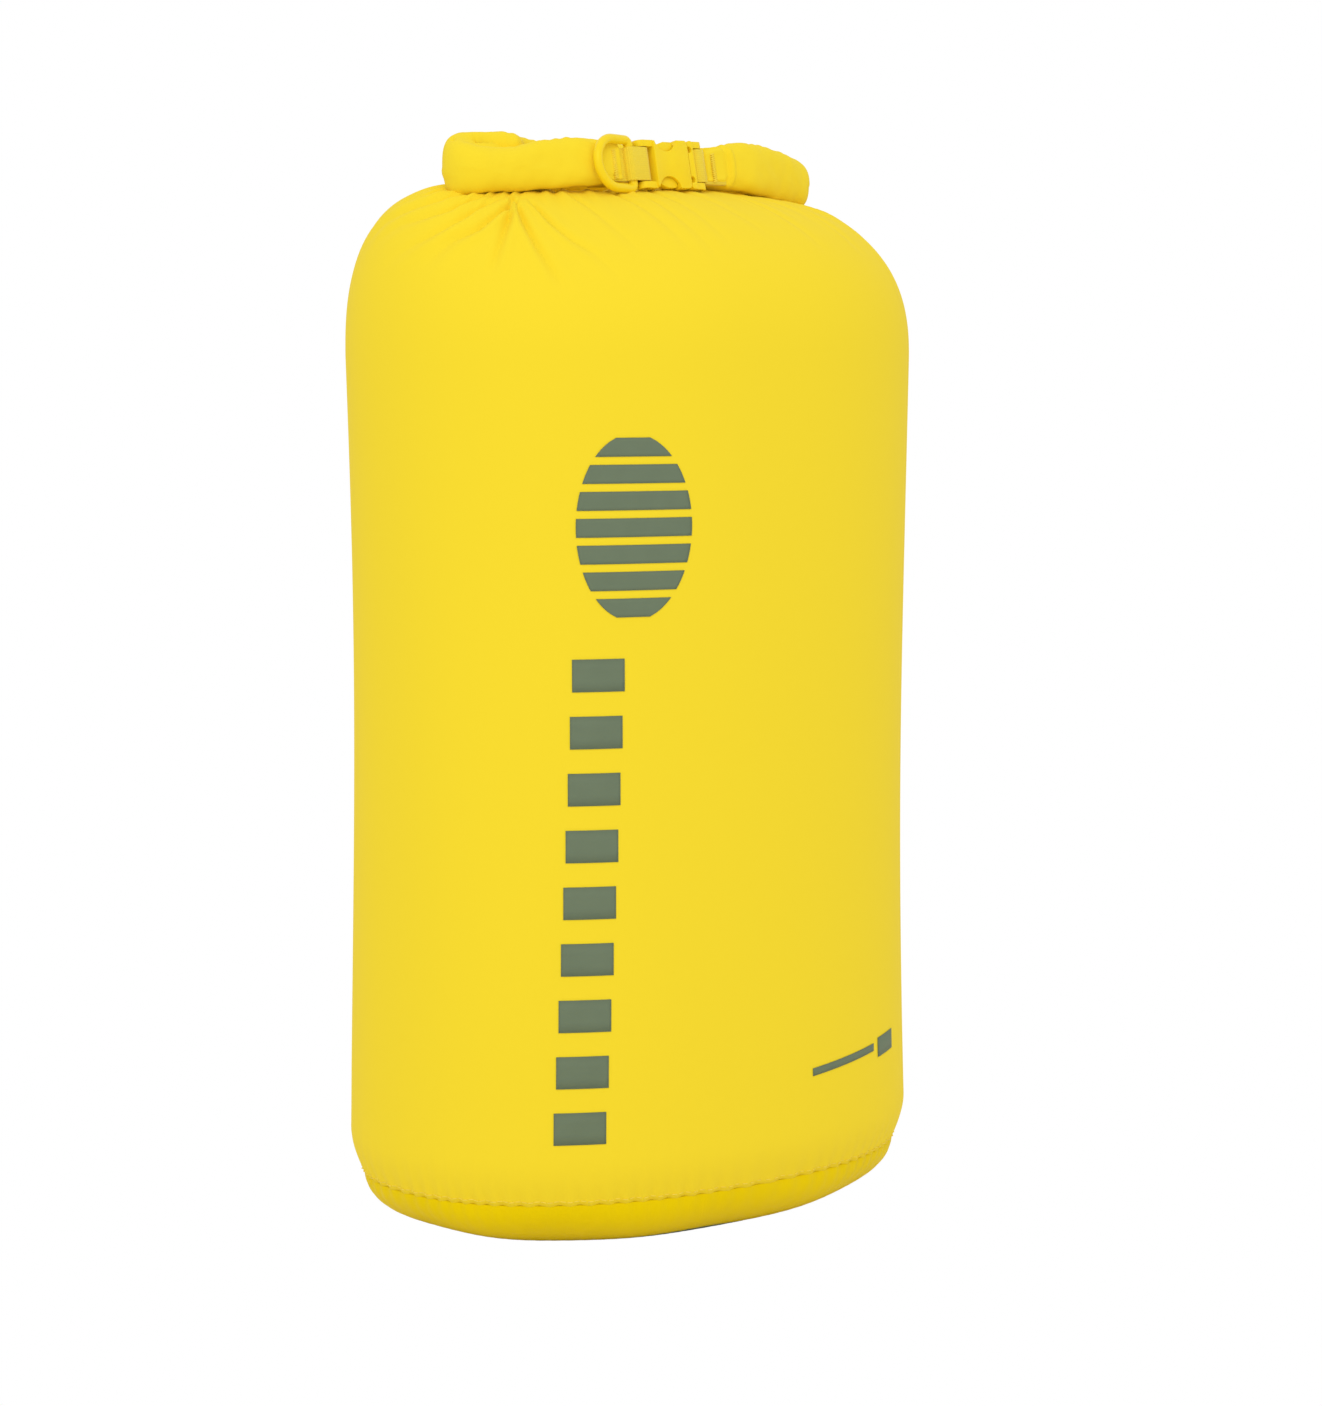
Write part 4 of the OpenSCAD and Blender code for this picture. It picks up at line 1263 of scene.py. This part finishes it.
class SACK_OT_ring(bpy.types.Operator):
    """Bends the D-ring's bar"""

    bl_idname = "sack.ring"
    bl_label = "D-ring"

    CORNER = 0.0026     # radius of the two corners at the straight bar
    LOOP = -0.0064      # from the socket's pin to the ring's straight bar

    def execute(self, context):
        r = roll_sizes()
        half = (r.ring_height - r.ring_bar) / 2
        rise = half - self.CORNER
        side = r.ring_reach - r.ring_bar / 2 - half
        object_mode()
        bpy.ops.object.select_all(action="DESELECT")
        bpy.ops.mesh.primitive_circle_add(vertices=28, radius=r.ring_bar / 2, location=(0, 0, -rise))
        ring = context.object
        ring.name = "d_ring_bar"
        bpy.ops.object.transform_apply(location=True)
        bpy.ops.object.mode_set(mode="EDIT")
        bpy.ops.mesh.select_all(action="SELECT")
        self.push((0, 0, 2 * rise))
        self.turn(90, (-self.CORNER, 0, rise), 8)
        self.push((self.CORNER - side, 0, 0))
        self.turn(180, (-side, 0, 0), 40)
        self.push((side - self.CORNER, 0, 0))
        self.turn(90, (-self.CORNER, 0, -rise), 8)
        bpy.ops.mesh.select_all(action="SELECT")
        bpy.ops.mesh.remove_doubles(threshold=0.02 * MM)
        bpy.ops.mesh.normals_make_consistent(inside=False)
        object_mode()
        ring.data.transform(
            BUCKLE @ Matrix.Translation((self.LOOP, 0, 0)) @ Matrix.Rotation(r.ring_rest, 4, "Z")
        )
        ring.data.shade_smooth()
        ring.data.materials.append(ring_plastic())
        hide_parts("d_ring")
        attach(ring, "ring")
        return {"FINISHED"}

    def push(self, way):
        bpy.ops.mesh.extrude_region_move(TRANSFORM_OT_translate={"value": way})

    def turn(self, degrees, centre, steps):
        bpy.ops.mesh.spin(steps=steps, angle=math.radians(degrees), center=centre, axis=(0, 1, 0))


class SACK_OT_hidden(bpy.types.Operator):
    """Finishes the tapes and stiffeners that lie inside the cloth"""

    bl_idname = "sack.hidden"
    bl_label = "Tapes and stiffeners"

    STRIP_SHARE = 0.5       # the cloth's soft bends are lower than the strip's full height
    STRIP_DROP = -0.0015

    def execute(self, context):
        tape = hidden_tape()
        for name in ("base_seam_tape", "side_seam_tape"):
            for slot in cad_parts[name].material_slots:
                slot.material = tape
        middle = Matrix.Translation((0, 0, SOCKET_PIN.z))
        squeeze = Matrix.Translation((0, 0, self.STRIP_DROP)) @ middle
        squeeze = squeeze @ Matrix.Diagonal((1, 1, self.STRIP_SHARE, 1)) @ middle.inverted()
        strips = (
            ("stiffener_main", "main_strip", "closure"),
            ("stiffener_right", "right_strip", "plug_side"),
        )
        for node, name, body in strips:
            piece = bpy.data.objects.new(name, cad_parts[node].data.copy())
            bpy.context.collection.objects.link(piece)
            piece.data.transform(squeeze)
            piece.data.materials.clear()
            piece.data.materials.append(tape)
            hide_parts(node)
            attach(piece, body)
        return {"FINISHED"}


STEPS = (
    SACK_OT_stage, SACK_OT_body, SACK_OT_base, SACK_OT_stitching, SACK_OT_prints, SACK_OT_roll, SACK_OT_tabs,
    SACK_OT_buckle, SACK_OT_ring, SACK_OT_hidden,
)


class SACK_PT_panel(bpy.types.Panel):
    """Sizes and colours, with a button for each piece"""

    bl_idname = "SACK_PT_panel"
    bl_label = "Roll-top stuff sack"
    bl_space_type = "VIEW_3D"
    bl_region_type = "UI"
    bl_category = "Stuff sack"

    def draw(self, context):
        for group in ("sack_sizes", "roll_sizes", "sack_colours", "studio_view"):
            settings = getattr(context.scene, group)
            box = self.layout.box()
            for key in settings.__annotations__:
                box.prop(settings, key)
        for step in STEPS:
            self.layout.operator(step.bl_idname)


CLASSES = (SackSizes, RollSizes, SackColours, StudioView, *STEPS, SACK_PT_panel)


def register():
    for item in CLASSES:
        bpy.utils.register_class(item)
    bpy.types.Scene.sack_sizes = bpy.props.PointerProperty(type=SackSizes)
    bpy.types.Scene.roll_sizes = bpy.props.PointerProperty(type=RollSizes)
    bpy.types.Scene.sack_colours = bpy.props.PointerProperty(type=SackColours)
    bpy.types.Scene.studio_view = bpy.props.PointerProperty(type=StudioView)


def unregister():
    del bpy.types.Scene.studio_view
    del bpy.types.Scene.sack_colours
    del bpy.types.Scene.roll_sizes
    del bpy.types.Scene.sack_sizes
    for item in reversed(CLASSES):
        bpy.utils.unregister_class(item)


def main():
    register()
    bpy.ops.sack.stage()
    bpy.ops.sack.body()
    bpy.ops.sack.base()
    bpy.ops.sack.stitching()
    bpy.ops.sack.prints()
    bpy.ops.sack.roll()
    bpy.ops.sack.tabs()
    bpy.ops.sack.buckle()
    bpy.ops.sack.ring()
    bpy.ops.sack.hidden()


if __name__ == "__main__":
    main()
